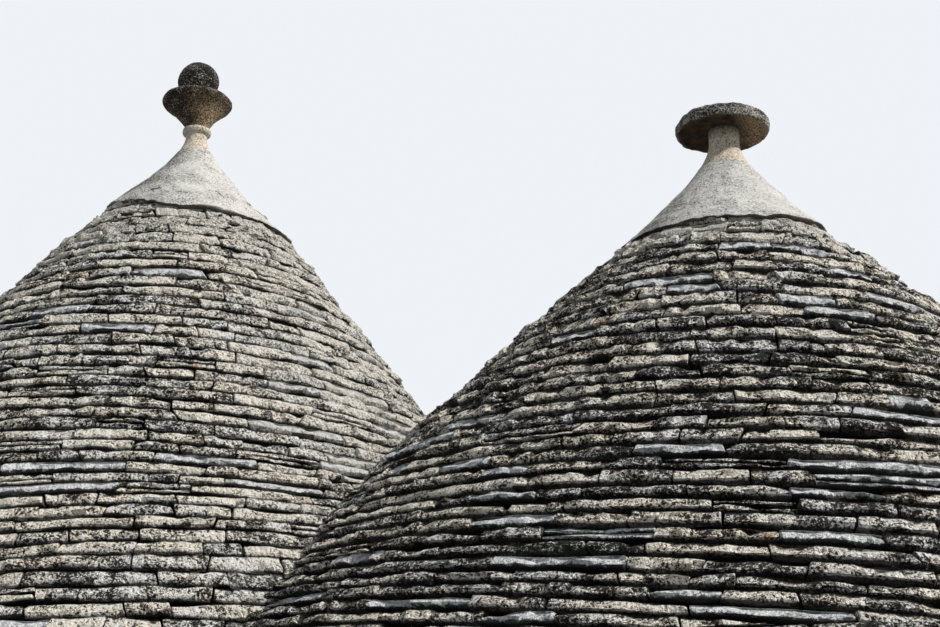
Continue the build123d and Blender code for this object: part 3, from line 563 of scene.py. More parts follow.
# Roof slabs: each cone is a skin of rough limestone slabs, chosen by hand and laid dry in level courses that
# step in by a straight batter with a shallow belly. The left cone's slabs lie nearly flush and are limed on
# their sunny side; the right one's are rougher, undercut and darker. Some have a fresh grey break.
CONES = {
    "right": {
        "x": AXIS_X, "foot": 2.8, "top": 0.61, "rise": 2.304, "belly": 0.05, "courses": 32, "growth": 1.016,
        "step": 0.70, "undercut": 0.032, "nose": 0.008, "grain": 0.0110, "jitter": 0.012, "gap": 0.008,
        "fresh": 0.12, "age": 0.010, "shade": 0.95, "limy": 0.16, "side_lime": 0.0,
        "sweep": ((0.0, 0.8, 1.2), (-0.105, -0.062, -0.055)),
    },
    "left": {
        "x": -AXIS_X, "foot": 2.605, "top": 0.605, "rise": 2.706, "belly": 0.035, "courses": 41,
        "growth": 1.0035, "step": 0.90, "undercut": 0.012, "nose": 0.002, "grain": 0.0085, "jitter": 0.009,
        "gap": 0.006, "fresh": 0.09, "age": -0.028, "shade": 0.65, "limy": 0.42, "side_lime": 0.8,
        "sweep": ((0.0, 0.45, 0.7, 1.1), (0.0, 0.06, 0.05, -0.012)),
    },
}
SLAB_DEPTH = 0.25
LEAST_WEDGE = 0.025        # that a slab stands above the cone's foot, or it is left out
FRONT_LIMIT = 0.15         # of the sine of the turn: slabs on this side of it are drawn with more sections
LOW_SHARE = 0.47           # of the cone's rise, where its front is parted into two pieces
VALLEY_LAP = 0.25
LAYERED_SHARE = 0.07
HIDDEN_COURSES = 3         # they run on up under the plaster
FOOT_COURSES = 5           # they run out as wedges where the beds sweep down to the foot


def cone_radius(cone, z):
    """Radius of the slab face at a height over the cone's foot."""
    share = z / cone["rise"]
    return cone["foot"] + (cone["top"] - cone["foot"]) * share + 4 * cone["belly"] * share * (1 - share)


def cone_slope(cone, z):
    """How much that radius grows for a rise in height."""
    return (cone_radius(cone, z + 0.01) - cone_radius(cone, z - 0.01)) / 0.02


def bed_sweep(cone, x, z):
    """How far a bed is raised at x from the axis and at its height: the lower courses climb towards the
    valley, by a slope that goes in straight steps from height to height."""
    return x * np.interp(z - CONE_FOOT, *cone["sweep"])


def valley_x(z):
    """Where the faces of the two cones cross in plan, at a height over their feet."""
    return (cone_radius(CONES["left"], z) ** 2 - cone_radius(CONES["right"], z) ** 2) / (4 * AXIS_X)


def in_layers(stones, rng):
    """Some slabs are two thin ones, one on the other."""
    split = rng.random(len(stones["run"])) < LAYERED_SHARE
    at = rng.uniform(0.4, 0.6, len(split))
    lower = {key: values.copy() for key, values in stones.items()}
    lower["layer_high"] = np.where(split, at - 0.02, 1)
    upper = pick(stones, split)
    upper["layer_low"] = at[split] + 0.03
    upper["seed"] = upper["seed"] + 31.0
    upper["tone"] = np.mod(upper["tone"] + 0.37, 1)
    upper["proud"] = upper["proud"] - rng.uniform(0, 0.012, split.sum())
    return together([lower, upper])


for seed, (side, cone) in enumerate(CONES.items()):
    slab_rng = np.random.default_rng(100 + seed)
    heights = cone["growth"] ** np.arange(cone["courses"]) * slab_rng.uniform(0.92, 1.08, cone["courses"])
    beds = np.concatenate([[0], np.cumsum(heights)]) * cone["rise"] / heights.sum()
    beds = np.concatenate([
        beds[1] * np.arange(-FOOT_COURSES, 0), beds,
        cone["rise"] + (beds[-1] - beds[-2]) * np.arange(1, HIDDEN_COURSES + 1),
    ])
    finish = limestone(f"{side} roof limestone", cone["age"])
    rings = []
    for low, high in zip(beds[:-1], beds[1:]):
        middle = (low + high) / 2
        radius = cone_radius(cone, middle)
        rings.append(course(
            slab_rng, CONE_FOOT + low, CONE_FOOT + high, radius, radius, radius,
            length=0.19 + 0.06 * radius, depth=SLAB_DEPTH, jitter=cone["jitter"], ragged=0.010,
            proud=-0.004 if low < cone["rise"] - 0.01 else -0.020, x=cone["x"],
            slope=cone_slope(cone, middle), fresh_share=cone["fresh"], joint=0.0035, gap=cone["gap"],
        ))
    slabs = in_layers(together(rings), slab_rng)
    slabs["lime"] = np.clip((slabs["high"] - CONE_FOOT - cone["rise"]) / cone["limy"] + 1.0, 0, 1) * 0.9
    angle = slabs["run"] / slabs["corner"] - np.pi / 2
    sunny = np.clip((np.cos(angle) - 0.5) / 0.35, 0, 1) * slab_rng.uniform(0.5, 1.0, len(angle))
    slabs["lime"] = np.maximum(slabs["lime"], cone["side_lime"] * sunny)
    centre_x = cone["x"] + slabs["corner"] * np.cos(angle)
    raised = bed_sweep(cone, centre_x - cone["x"], slabs["high"])
    middle_z = (slabs["low"] + slabs["high"]) / 2 + raised - CONE_FOOT
    past_valley = (valley_x(middle_z) - centre_x) * np.sign(cone["x"])
    kept = (past_valley < VALLEY_LAP) & (slabs["high"] + raised > CONE_FOOT + LEAST_WEDGE)
    slabs, angle, middle_z = pick(slabs, kept), angle[kept], middle_z[kept]
    front = np.sin(angle) < FRONT_LIMIT
    low_part = middle_z < cone["rise"] * LOW_SHARE
    for part, chosen, along in (
        ("front_low", front & low_part, 10), ("front_high", front & ~low_part, 10), ("back", ~front, 4),
    ):
        roof_slabs = lay(
            f"{side}_roof_slabs_{part}", pick(slabs, chosen), finish, along, edge=0.005,
            grain=cone["grain"], undercut=cone["undercut"], nose=cone["nose"], lean=cone["step"], wave=0.012,
            flat=0.5, sweep=lambda x, z, cone=cone: bed_sweep(cone, x, z), lowest=CONE_FOOT,
            shade=cone["shade"], crease=18,
        )
        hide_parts(f"{side}_roof_courses")

# Plastered tops: lime plaster over small stones, drawn up by hand from the last course to a slender neck.
# The plaster laps over the slabs with an uneven edge, and has weathered and grown lichen.
EDGE_TURNS = np.radians([-151, -110, -71, -30, 9, 100])
CAPS = {
    "right": {
        "x": AXIS_X, "base": 4.702, "foot": 0.625, "neck": 0.084, "crook": 0.51, "turn": 0.685, "top": 0.76,
        "edge": (0.04, 0.03, 0.035, 0.09, 0.15, 0.10), "stone": 0.535, "damp": 0.55,
        "off_foot": 0.0, "off_neck": 0.0,
    },
    "left": {
        "x": -AXIS_X, "base": 5.104, "foot": 0.62, "neck": 0.066, "crook": 0.53, "turn": 0.683, "top": 0.745,
        "edge": (0.20, 0.12, 0.016, 0.012, 0.012, 0.08), "stone": 0.585, "damp": 1.1,
        "off_foot": 0.004, "off_neck": 0.017,
    },
}
CAP_AROUND = 224
CAP_STEPS = 56


def turned(x, radii, heights, around, bump=None):
    """A surface turned round an upright axis through x, from its lowest point on the axis to its highest one.
    Rings of points at the radii and heights, each closed to a single point at either end. bump gives how far
    each point moves outwards."""
    angle = np.arange(around) * 2 * np.pi / around
    ring_x, ring_y = (np.tile(values, (len(radii), 1)) for values in (np.cos(angle), np.sin(angle)))
    radius, z = (np.broadcast_to(values.reshape(len(radii), -1), ring_x.shape) for values in (radii, heights))
    points = np.stack([x + radius * ring_x, radius * ring_y, z], -1)
    if bump:
        rings = np.diff(radius, axis=0, append=radius[-1:])
        rises = np.diff(z, axis=0, append=z[-1:])
        size = np.maximum(np.hypot(rings, rises), 1e-6)
        normal = np.stack([rises / size * ring_x, rises / size * ring_y, -rings / size], -1)
        points = points + normal * bump(points)[..., None]
    grid = np.arange(points.shape[0] * around).reshape(-1, around)
    after = np.roll(grid, -1, axis=1)
    quads = np.stack([grid[:-1], after[:-1], after[1:], grid[1:]], -1).reshape(-1, 4)
    low_pole, high_pole = grid.size, grid.size + 1
    low_fan = np.stack([after[0], grid[0], np.full(around, low_pole)], -1)
    high_fan = np.stack([grid[-1], after[-1], np.full(around, high_pole)], -1)
    poles = np.array([[x, 0, points[0, :, 2].mean()], [x, 0, points[-1, :, 2].mean()]])
    return np.concatenate([points.reshape(-1, 3), poles]), [quads, low_fan, high_fan]


def weathered_plaster():
    """Old lime plaster: warm white where it is washed, grey with lichen where it stays damp, mottled and
    sandy, with darker specks. The neck above it is bare stone, cream and ochre with dark grains. A dark line
    runs along the joint between the two, and rust lichen grows along the plaster's lower edge. The shade mark
    also paints shade on the plaster's lower lip and the disc's shadow on the top of the right neck."""
    made, place = new_finish("weathered plaster")
    fine = noise(place, 95, 5, 0.75)
    base = ramp(noise(place, 9, 6, 0.68), (0.34, (0.50, 0.49, 0.46)), (0.56, (0.76, 0.74, 0.70)))
    base = blend(ramp(noise(place, 60, 5, 0.7), (0.45, 0), (0.62, 0.7)), base, (0.88, 0.86, 0.81))
    damp = noise(place, 6, 5, 0.65) + mark(place, "damp") * 0.42
    base = blend(ramp(damp, (0.60, 0), (0.86, 0.60)), base, (0.36, 0.35, 0.33))
    base = blend(ramp(fine + damp * 0.30, (0.70, 0), (0.75, 0.85)), base, (0.075, 0.07, 0.062))
    rusty = noise(place, 34, 5, 0.7) + mark(place, "edge") * 0.22
    base = blend(ramp(rusty, (0.80, 0), (0.85, 0.7)), base, (0.40, 0.25, 0.12))
    stone = ramp(fine, (0.42, (0.86, 0.80, 0.69)), (0.52, (0.76, 0.67, 0.53)), (0.58, (0.38, 0.28, 0.18)),
                 (0.63, (0.06, 0.045, 0.03)))
    base = blend(mark(place, "stone"), base, stone)
    # The shade mark: painted shade on the lower lip, the disc's painted shadow on the right neck, and a dark
    # line along the joint.
    base = blend(mark(place, "shade"), base, (0.05, 0.038, 0.027))
    surface(base, 0.95, fine + noise(place, 22, 5), 0.7, 0.010)
    return made


plaster = weathered_plaster()
for side, cap in CAPS.items():
    angle = np.arange(CAP_AROUND)[None] * 2 * np.pi / CAP_AROUND
    ring = np.stack([np.cos(angle), np.sin(angle), np.zeros_like(angle)], -1)
    edge = np.interp(angle, EDGE_TURNS, cap["edge"], period=2 * np.pi)
    edge = edge + 0.012 * cloud(ring, 0.35, 51) + 0.012 * cloud(ring, 0.1, 53) + 0.007 * cloud(ring, 0.04, 55)
    edge = np.maximum(edge, 0.004)
    steps = np.linspace(0, 1, 400)
    first = np.interp(edge, 2 * steps * (1 - steps) * cap["crook"] + steps**2 * cap["turn"], steps)
    share = first + (1 - first) * np.linspace(0, 1, CAP_STEPS)[:, None]
    flare_r = (1 - share) ** 2 * cap["foot"] + (1 - (1 - share) ** 2) * cap["neck"]
    flare_z = 2 * share * (1 - share) * cap["crook"] + share**2 * cap["turn"]
    under_r = flare_r[:1] - np.array([0.07, 0.010, 0.003])[:, None]
    under_z = flare_z[:1] - np.array([0.012, 0.008, 0.004])[:, None]
    neck_z = cap["turn"] + np.array([0.3, 0.65, 1.0])[:, None] * (cap["top"] - cap["turn"])
    radii = np.concatenate([under_r, flare_r, np.full((3, CAP_AROUND), cap["neck"])])
    heights = np.concatenate([under_z, flare_z, neck_z + np.zeros((1, CAP_AROUND))])
    line = cap["stone"] + 0.012 * cloud(ring, 0.6, 57) + 0.006 * cloud(ring, 0.2, 59)
    over_line = heights - line
    radii = radii - 0.004 * np.clip(over_line / 0.006 + 0.5, 0, 1)
    fade = np.clip(radii / 0.3, 0.25, 1)

    def hand_drawn(points, fade=fade):
        lumps = 0.010 * cloud(points, 0.22, 61) + 0.005 * cloud(points, 0.07, 63)
        return (lumps + 0.003 * cloud(points, 0.025, 67)) * fade

    points, faces = turned(cap["x"], radii, heights + cap["base"], CAP_AROUND, hand_drawn)
    damp_side = np.clip(0.5 - 0.6 * np.cos(np.arctan2(points[:, 1], points[:, 0] - cap["x"]) + 0.3), 0, 1)
    up = points[:, 2] - cap["base"]
    part = np.clip(up / cap["top"], 0, 1)
    points[:, 0] += cap["off_foot"] + (cap["off_neck"] - cap["off_foot"]) * part**1.5
    bare = np.append(np.clip(over_line / 0.008 + 0.5, 0, 1).ravel(), [1, 1])
    seam = np.append(np.clip(1 - np.abs(over_line) / 0.006, 0, 1).ravel(), [0, 0]) * 0.5
    over_edge = np.append((heights - edge).ravel(), [1, 1])
    # Painted shade: the lip under the plaster's edge is made nearly black.
    lip_shade = 0.85 * np.clip(-over_edge / 0.003, 0, 1)
    # Painted shadow of the disc, partly stain: the right neck darkens towards its top under the disc.
    disc_shadow_and_stain = np.clip((up - cap["top"] + 0.07) / 0.08, 0, 0.9) * (side == "right")
    marks = {
        "damp": cap["damp"] * damp_side * (1 - 0.6 * part),
        "stone": bare,
        "shade": np.maximum(np.maximum(seam, lip_shade), disc_shadow_and_stain),
        "edge": np.clip(1 - over_edge / 0.05, 0, 1),
    }
    piece = new_piece(f"{side}_plaster_top", points, faces, plaster, marks, crease=50)
    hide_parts(f"{side}_plaster_cap")

# Finials: carved from soft limestone that has gone rough and dark with lichen. The right one is a thick disc,
# hollow below and rough above; the left one a collar, a flaring bowl and a ball seated in it.
DISC_X = AXIS_X - 0.004
DISC_Z = 5.462
BOWL_Z = 5.849
BALL_Z = 6.155
BALL_RADIUS = 0.1175


def lichened_stone(name, pale, dark, amount, brown=0.0):
    """Pitted stone almost covered by dark lichen, finely specked where pale grains come through, darker brown
    below, and ochre on its sunny side, partly stone washed clean and partly painted light."""
    made, place = new_finish(name)
    specks = noise(place, 125, 3, 0.7, 0.3)
    half_covered = tuple(0.4 * c for c in pale)
    colour = ramp(specks + noise(place, 16, 5) * 0.35,
                  (amount - 0.03, pale), (amount + 0.02, half_covered), (amount + 0.06, dark))
    # Below, dark brown: on the disc's underside partly stain and partly painted shade.
    under = ramp(noise(place, 11, 5, 0.65), (0.40, (0.020, 0.013, 0.008)), (0.68, (0.13, 0.085, 0.045)))
    colour = blend(mark(place, "under") * brown, colour, under)
    washed = ramp(specks, (0.42, (0.80, 0.66, 0.45)), (0.51, (0.50, 0.33, 0.16)),
                  (0.58, (0.045, 0.032, 0.022)))
    # Ochre on the sunny side: partly stone washed clean, partly painted light.
    colour = blend(mark(place, "ochre"), colour, washed)
    surface(colour, 0.93, specks + noise(place, 30, 6, 0.65), 1.0, 0.016)
    return made


def rough_bump(amount, seed):
    """A bump for turned, of three clouds, each finer and weaker than the one before."""
    def bump(points):
        return amount * (cloud(points, 0.09, seed) + 0.6 * cloud(points, 0.035, seed + 1)
                         + 0.35 * cloud(points, 0.015, seed + 2))
    return bump


def profile(points, count):
    """Radii and heights at even steps along a line through the given points."""
    points = np.array(points, float)
    gone = np.concatenate([[0], np.cumsum(np.hypot(*np.diff(points, axis=0).T))])
    at = np.linspace(0, gone[-1], count)
    return np.interp(at, gone, points[:, 0]), np.interp(at, gone, points[:, 1])


disc_stone = lichened_stone("disc stone", (0.70, 0.67, 0.61), (0.036, 0.031, 0.026), 0.64, 1.0)
radii, heights = profile([
    (0.004, 0.0), (0.084, 0.0), (0.17, -0.002), (0.222, -0.014), (0.234, -0.010), (0.239, 0.008),
    (0.238, 0.034), (0.228, 0.054), (0.19, 0.066), (0.12, 0.072), (0.05, 0.074), (0.004, 0.074),
], 60)
points, faces = turned(DISC_X, radii, heights + DISC_Z, 150, rough_bump(0.0085, 71))
points[:, 2] = np.maximum(points[:, 2], DISC_Z - 0.0155)
reach = np.hypot(points[:, 0] - DISC_X, points[:, 1])
# Painted shade on the hollow underside, partly brown stain; painted light on its sunny right, partly ochre
# stone.
under = np.clip((0.236 - reach) / 0.012, 0, 1) * np.clip((DISC_Z + 0.034 - points[:, 2]) / 0.008, 0, 1)
marks = {"under": under, "ochre": under * 0.55 * np.clip((points[:, 0] - AXIS_X - 0.05) / 0.1, 0, 1)}
disc = new_piece("right_disc", points, faces, disc_stone, marks, 35)
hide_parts("right_finial_disc")

bowl_stone = lichened_stone("bowl stone", (0.55, 0.46, 0.34), (0.022, 0.017, 0.013), 0.585, 0.6)
radii, heights = profile([
    (0.004, 0.0), (0.066, 0.0), (0.070, 0.022), (0.112, 0.075), (0.157, 0.122), (0.190, 0.148),
    (0.199, 0.162), (0.198, 0.176), (0.186, 0.188), (0.150, 0.204), (0.122, 0.215), (0.108, 0.212),
    (0.09, 0.19), (0.004, 0.18),
], 52)
points, faces = turned(-AXIS_X, radii, heights + BOWL_Z, 120, rough_bump(0.003, 81))
up = points[:, 2] - BOWL_Z
# Painted light, partly stone washed clean: ochre on the bowl's sunny right below its rim. The bowl is also
# darker brown towards its foot.
washed = np.clip((points[:, 0] + AXIS_X) / 0.10 + 0.1, 0, 1) * np.clip((0.165 - up) / 0.08, 0, 1) * 0.9
marks = {"under": np.clip(0.75 - up / 0.16, 0, 1), "ochre": washed}
points[:, 0] += np.interp(up, [0, 0.15], [0.017, 0.006])
bowl = new_piece("left_bowl", points, faces, bowl_stone, marks, 45)
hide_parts("left_finial_bowl")

ball_stone = lichened_stone("ball stone", (0.62, 0.58, 0.48), (0.016, 0.014, 0.013), 0.575)
turn = np.linspace(0.03, np.pi - 0.03, 50)
points, faces = turned(-AXIS_X + 0.005, BALL_RADIUS * np.sin(turn), BALL_Z - BALL_RADIUS * np.cos(turn), 96,
                       rough_bump(0.0025, 91))
ball = new_piece("left_ball", points, faces, ball_stone,
                 {"under": np.zeros(len(points)), "ochre": np.zeros(len(points))}, 45)
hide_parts("left_finial_ball")

radii, heights = profile([
    (0.056, -0.037), (0.066, -0.039), (0.077, -0.035), (0.081, -0.020), (0.077, -0.005), (0.070, -0.001),
    (0.056, -0.002),
], 26)
points, faces = turned(-AXIS_X + 0.017, radii, heights + BOWL_Z, 96, rough_bump(0.0015, 95))
half_bare = np.clip((points[:, 0] + AXIS_X) / 0.06, 0.15, 0.85)
collar = new_piece("left_collar", points, faces, plaster,
                   {"damp": np.zeros(len(points)), "stone": half_bare, "shade": half_bare * 0.1}, 50)
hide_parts("left_finial_collar")

# Doorway: dressed limestone jambs and arch stones round a deep niche, a worn threshold in two slabs, and at
# the back of the niche a wooden frame. The door of five planks on two ledges hangs on iron pins and stands
# open.
ARCH_INNER = 0.55
ARCH_OUTER = 0.71
ARCH_MIDDLE = (ARCH_INNER + ARCH_OUTER) / 2
JAMB_HALF = (ARCH_OUTER - ARCH_INNER) / 2
ARCH_STONES = 9
DRESSED_FRONT = -2.918     # of the jambs and the arch ring, a little proud of the wall
DRESSED_BACK = -2.65
SILL_FRONT = -2.898
FRAME_FRONT = -2.3         # of the wooden frame at the back of the niche
FRAME_BACK = -2.2
LEDGE_MIDDLES = (0.392, 1.438)
STONE_JOINT = 0.005
BOX_ROUND_U = np.array([0, 0, 0, 1, 1, 1, 0, 0, 0, -1, -1, -1])
BOX_INNER_U = np.array([-1, 0, 1, 0, 0, 0, 1, 0, -1, 0, 0, 0])
BOX_ROUND_V = np.array([1, 1, 1, 0, 0, 0, -1, -1, -1, 0, 0, 0])
BOX_INNER_V = np.array([0, 0, 0, 1, 0, -1, 0, 0, 0, -1, 0, 1])


def worked_boxes(name, boxes, finish, edge, grain, along=5, bend=None, copies=((0.0, 0.0, 0),)):
    """Boxes of worked stone or wood, given by their low and high corners, with rounded edges and a slightly
    uneven surface. Each is drawn along its longest side, as one rounded rectangle that gets a little
    smaller at the two ends. bend reshapes the points, and copies are set at x and y and turned by quarter
    turns."""
    boxes = np.array(boxes, float).reshape(-1, 2, 3)
    count = len(boxes)
    half = (boxes[:, 1] - boxes[:, 0]) / 2
    axes = (np.argmax(half, axis=1)[:, None] + np.array([1, 2, 0])) % 3
    half_u, half_v, reach = np.take_along_axis(half, axes, axis=1).T[:, :, None, None]
    corner = np.minimum(edge, 0.45 * np.minimum(half_u, half_v))
    end = np.zeros(along + 2)
    end[[0, -1]] = 1
    end = end[None, :, None]
    flat_u = half_u - corner * (1 + 0.4 * end)
    flat_v = half_v - corner * (1 + 0.4 * end)
    u = BOX_ROUND_U * (half_u - corner * end) + BOX_INNER_U * flat_u
    v = BOX_ROUND_V * (half_v - corner * end) + BOX_INNER_V * flat_v
    inner = (reach[:, :, 0] - corner[:, :, 0]) * np.linspace(-1, 1, along)
    w = np.concatenate([-reach[:, :, 0], inner, reach[:, :, 0]], axis=1)[:, :, None] + np.zeros(u.shape)
    local = np.stack([u, v, w], -1)
    points = np.zeros(local.shape)
    where = np.broadcast_to(axes[:, None, None, :], local.shape)
    np.put_along_axis(points, where, local, axis=-1)
    points += boxes.mean(axis=1)[:, None, None, :]
    out = np.stack([BOX_ROUND_U + 0.5 * BOX_INNER_U, BOX_ROUND_V + 0.5 * BOX_INNER_V, 0 * BOX_INNER_V], -1)
    outward = np.zeros(local.shape)
    np.put_along_axis(outward, where, np.broadcast_to(out, local.shape).astype(float), axis=-1)
    uneven = cloud(points, 0.12, 101) + 0.6 * cloud(points, 0.04, 103) - 0.9
    points += outward * (grain * uneven)[..., None]
    points[..., 2] = np.maximum(points[..., 2], 0)
    if bend:
        points = bend(points)
    own_tone = np.random.default_rng(count).random(count)[:, None, None]
    board = (local + own_tone[..., None] * 7).reshape(-1, 3)
    tone = np.broadcast_to(own_tone, u.shape).ravel()
    face_sets = stone_faces(count, along + 2)
    points = points.reshape(-1, 3)
    placed = []
    for x, y, quarters in copies:
        cos, sin = np.cos(quarters * np.pi / 2), np.sin(quarters * np.pi / 2)
        placed.append(points @ np.array([[cos, sin, 0], [-sin, cos, 0], [0, 0, 1]]) + np.array([x, y, 0]))
    firsts = np.arange(len(copies)) * len(points)
    face_sets = [np.concatenate([faces + first for first in firsts]) for faces in face_sets]
    marks = {"board": np.tile(board, (len(copies), 1)), "tone": np.tile(tone, len(copies))}
    return new_piece(name, np.concatenate(placed), face_sets, finish, marks, crease=40)


def dressed_limestone(name, pale, dark):
    """Limestone worked with a pick: pale, faintly stained, each stone a little different, with short pick
    marks and open pores."""
    made, place = new_finish(name)
    colour = ramp(noise(place, 7, 6, 0.65) + mark(place, "tone") * 0.2, (0.42, dark), (0.74, pale))
    pores = noise(place, 120, 4, 0.7)
    colour = blend(ramp(pores, (0.60, 0), (0.68, 0.6)), colour, tuple(0.35 * c for c in dark))
    surface(colour, 0.9, noise(place, 42, 3, 0.6, 1.0) + pores * 0.5, 0.6, 0.010)
    return made


def weathered_wood():
    """Old oiled boards: brown with silvered grain along each board, darker in its cracks."""
    made, place = new_finish("weathered wood")
    board = Shade(node(place, "ShaderNodeAttribute", attribute_name="board").outputs["Vector"])
    squeezed = {"Vector": board, "Scale": (1.0, 1.0, 0.06)}
    lines = noise(Shade(node(board, "ShaderNodeMapping", squeezed).outputs["Vector"]), 95, 5, 0.65, 0.4)
    colour = ramp(lines + noise(board, 5) * 0.3, (0.50, (0.035, 0.022, 0.014)), (0.62, (0.16, 0.10, 0.062)),
                  (0.76, (0.33, 0.24, 0.17)))
    surface(colour, 0.75, lines, 0.7, 0.003, 0.3)
    return made


def black_iron():
    """Forged iron, nearly black, with a little rust."""
    made, place = new_finish("black iron")
    colour = ramp(noise(place, 60, 5), (0.50, (0.025, 0.024, 0.023)), (0.68, (0.12, 0.055, 0.028)))
    surface(colour, 0.6, noise(place, 150), 0.5, 0.002, 0.5)
    return made


dressed_stone = dressed_limestone("dressed limestone", (0.74, 0.69, 0.59), (0.45, 0.39, 0.30))
wood = weathered_wood()
iron = black_iron()
jamb_beds = np.array([0.0, 0.43, 0.74, 1.09, DOOR_SPRING])
jamb_stones = [
    ((x - JAMB_HALF, DRESSED_FRONT, low + STONE_JOINT / 2),
     (x + JAMB_HALF, DRESSED_BACK, high - STONE_JOINT / 2))
    for x in (AXIS_X - ARCH_MIDDLE, AXIS_X + ARCH_MIDDLE) for low, high in zip(jamb_beds[:-1], jamb_beds[1:])
]
door_jambs = worked_boxes("door_jamb_stones", jamb_stones, dressed_stone, 0.012, 0.004,
                          along=7)
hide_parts("door_jamb_left", "door_jamb_right")


def round_arch(points):
    """Bends a straight row of blocks into the arch: lengths along x become turns round its middle."""
    turn, radius = points[..., 0] / ARCH_MIDDLE, points[..., 2]
    x, z = AXIS_X + radius * np.sin(turn), DOOR_SPRING + radius * np.cos(turn)
    return np.stack([x, points[..., 1], z], -1)


half_ring = ARCH_MIDDLE * np.pi / 2
ring_joints = np.linspace(-half_ring, half_ring, ARCH_STONES + 1)
arch_stones = [
    ((low + STONE_JOINT / 2, DRESSED_FRONT, ARCH_INNER), (high - STONE_JOINT / 2, DRESSED_BACK, ARCH_OUTER))
    for low, high in zip(ring_joints[:-1], ring_joints[1:])
]
door_arch = worked_boxes("door_arch_stones", arch_stones, dressed_stone, 0.012, 0.004,
                         bend=round_arch)
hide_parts("door_arch")
sill_stones = [((low, SILL_FRONT, 0.0), (high, FRAME_FRONT, 0.119))
               for low, high in ((0.95, 1.47), (1.476, 2.05))]
threshold = worked_boxes("threshold_stones", sill_stones, dressed_stone, 0.016, 0.004,
                         along=9)
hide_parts("threshold")

frame_timbers = [
    ((low_x, FRAME_FRONT, low), (high_x, FRAME_BACK, high))
    for low_x, high_x, low, high in (
        (1.05, 1.12, 0.1, 1.78), (1.88, 1.95, 0.1, 1.78), (1.05, 1.95, 1.78, 1.85),
    )
]
door_frame = worked_boxes("door_frame_timbers", frame_timbers, wood, 0.005, 0.0015)
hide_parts("door_frame")
plank_edges = np.linspace(-2.182, -1.422, 6)
door_boards = [((1.075, low + 0.001, 0.11), (1.12, high - 0.001, 1.77))
               for low, high in zip(plank_edges[:-1], plank_edges[1:])]
door_boards += [((1.1195, -2.072, middle - 0.055), (1.145, -1.532, middle + 0.055))
                for middle in LEDGE_MIDDLES]
door_leaf = worked_boxes("door_boards", door_boards, wood, 0.004, 0.0012)
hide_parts("door_leaf")
hinge_pins = [((1.0885, -2.2, middle - 0.06), (1.1065, -2.182, middle + 0.06)) for middle in LEDGE_MIDDLES]
nail_heads = [((1.1445, y - 0.006, middle - 0.006), (1.1485, y + 0.006, middle + 0.006))
              for middle in LEDGE_MIDDLES for y in (plank_edges[1:-2] + plank_edges[2:-1]) / 2]
door_hinges = worked_boxes("door_hinge_pins", hinge_pins + nail_heads, iron, 0.0052, 0.0004, along=3)
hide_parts("door_hinges")

# Windows: one small one in each outer side, with a stone lintel, sill and jambs let into the wall, a wooden
# sash with crossed bars set back in it, and panes of clear glass.
WINDOW_PLACES = (
    (-AXIS_X, -WALL_HALF_DEPTH, 0), (WALL_HALF_LENGTH, 0.0, 1),
    (AXIS_X, WALL_HALF_DEPTH, 2), (-WALL_HALF_LENGTH, 0.0, 3),
)


def clear_glass():
    """Clear glass, a little green."""
    made, place = new_finish("clear glass")
    surface((0.80, 0.88, 0.86, 1), 0.03, noise(place, 8, 2), 0.05, 0.002, 0.5,
            {"Transmission Weight": 1.0, "IOR": 1.45})
    return made


window_stones = [
    ((-0.37, -0.013, 1.672), (0.37, 0.28, 1.78)), ((-0.37, -0.013, 0.94), (0.37, 0.28, 1.048)),
    ((-0.37, -0.011, 1.052), (-0.26, 0.28, 1.668)), ((0.26, -0.011, 1.052), (0.37, 0.28, 1.668)),
]
surrounds = worked_boxes("window_stones", window_stones, dressed_stone, 0.010, 0.003,
                         along=7, copies=WINDOW_PLACES)
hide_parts("window_surrounds")
sash_timbers = [
    ((-0.26, 0.12, 1.05), (-0.215, 0.17, 1.67)), ((0.215, 0.12, 1.05), (0.26, 0.17, 1.67)),
    ((-0.215, 0.12, 1.05), (0.215, 0.17, 1.095)), ((-0.215, 0.12, 1.625), (0.215, 0.17, 1.67)),
    ((-0.012, 0.121, 1.095), (0.012, 0.169, 1.625)),
    ((-0.215, 0.123, 1.348), (-0.012, 0.167, 1.372)), ((0.012, 0.123, 1.348), (0.215, 0.167, 1.372)),
]
sashes = worked_boxes("window_sash_timbers", sash_timbers, wood, 0.004, 0.0008, along=3,
                      copies=WINDOW_PLACES)
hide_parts("window_sashes")
dress_node("window_glass", clear_glass())

# Inside: stone paving on a bed of earth and lime, limewashed walls, an arch between the rooms, slabs across
# the corners, and domes of corbelled stones that close in to a slab at the top.
PAVING_TOP = 0.098
PAVING_JOINT = 0.006
BED_SHARE = 0.86           # of the floor's height that the bed under the paving keeps


def paving(low_x, high_x, low_y, high_y, rng):
    """Rows of paving slabs over a rectangle, with random widths and lengths that fill it."""
    boxes = []
    rows = max(2, int(round((high_y - low_y) / 0.36)))
    beds = rng.uniform(0.75, 1.25, rows)
    edges_y = low_y + np.concatenate([[0], np.cumsum(beds)]) * (high_y - low_y) / beds.sum()
    for near, far in zip(edges_y[:-1], edges_y[1:]):
        count = max(2, int(round((high_x - low_x) / 0.5)))
        parts = rng.uniform(0.7, 1.3, count)
        edges_x = low_x + np.concatenate([[0], np.cumsum(parts)]) * (high_x - low_x) / parts.sum()
        drops = rng.uniform(-0.004, 0.0015, count)
        boxes += [
            ((left + PAVING_JOINT / 2, near + PAVING_JOINT / 2, 0.03),
             (right - PAVING_JOINT / 2, far - PAVING_JOINT / 2, PAVING_TOP + drop))
            for left, right, drop in zip(edges_x[:-1], edges_x[1:], drops)
        ]
    return boxes


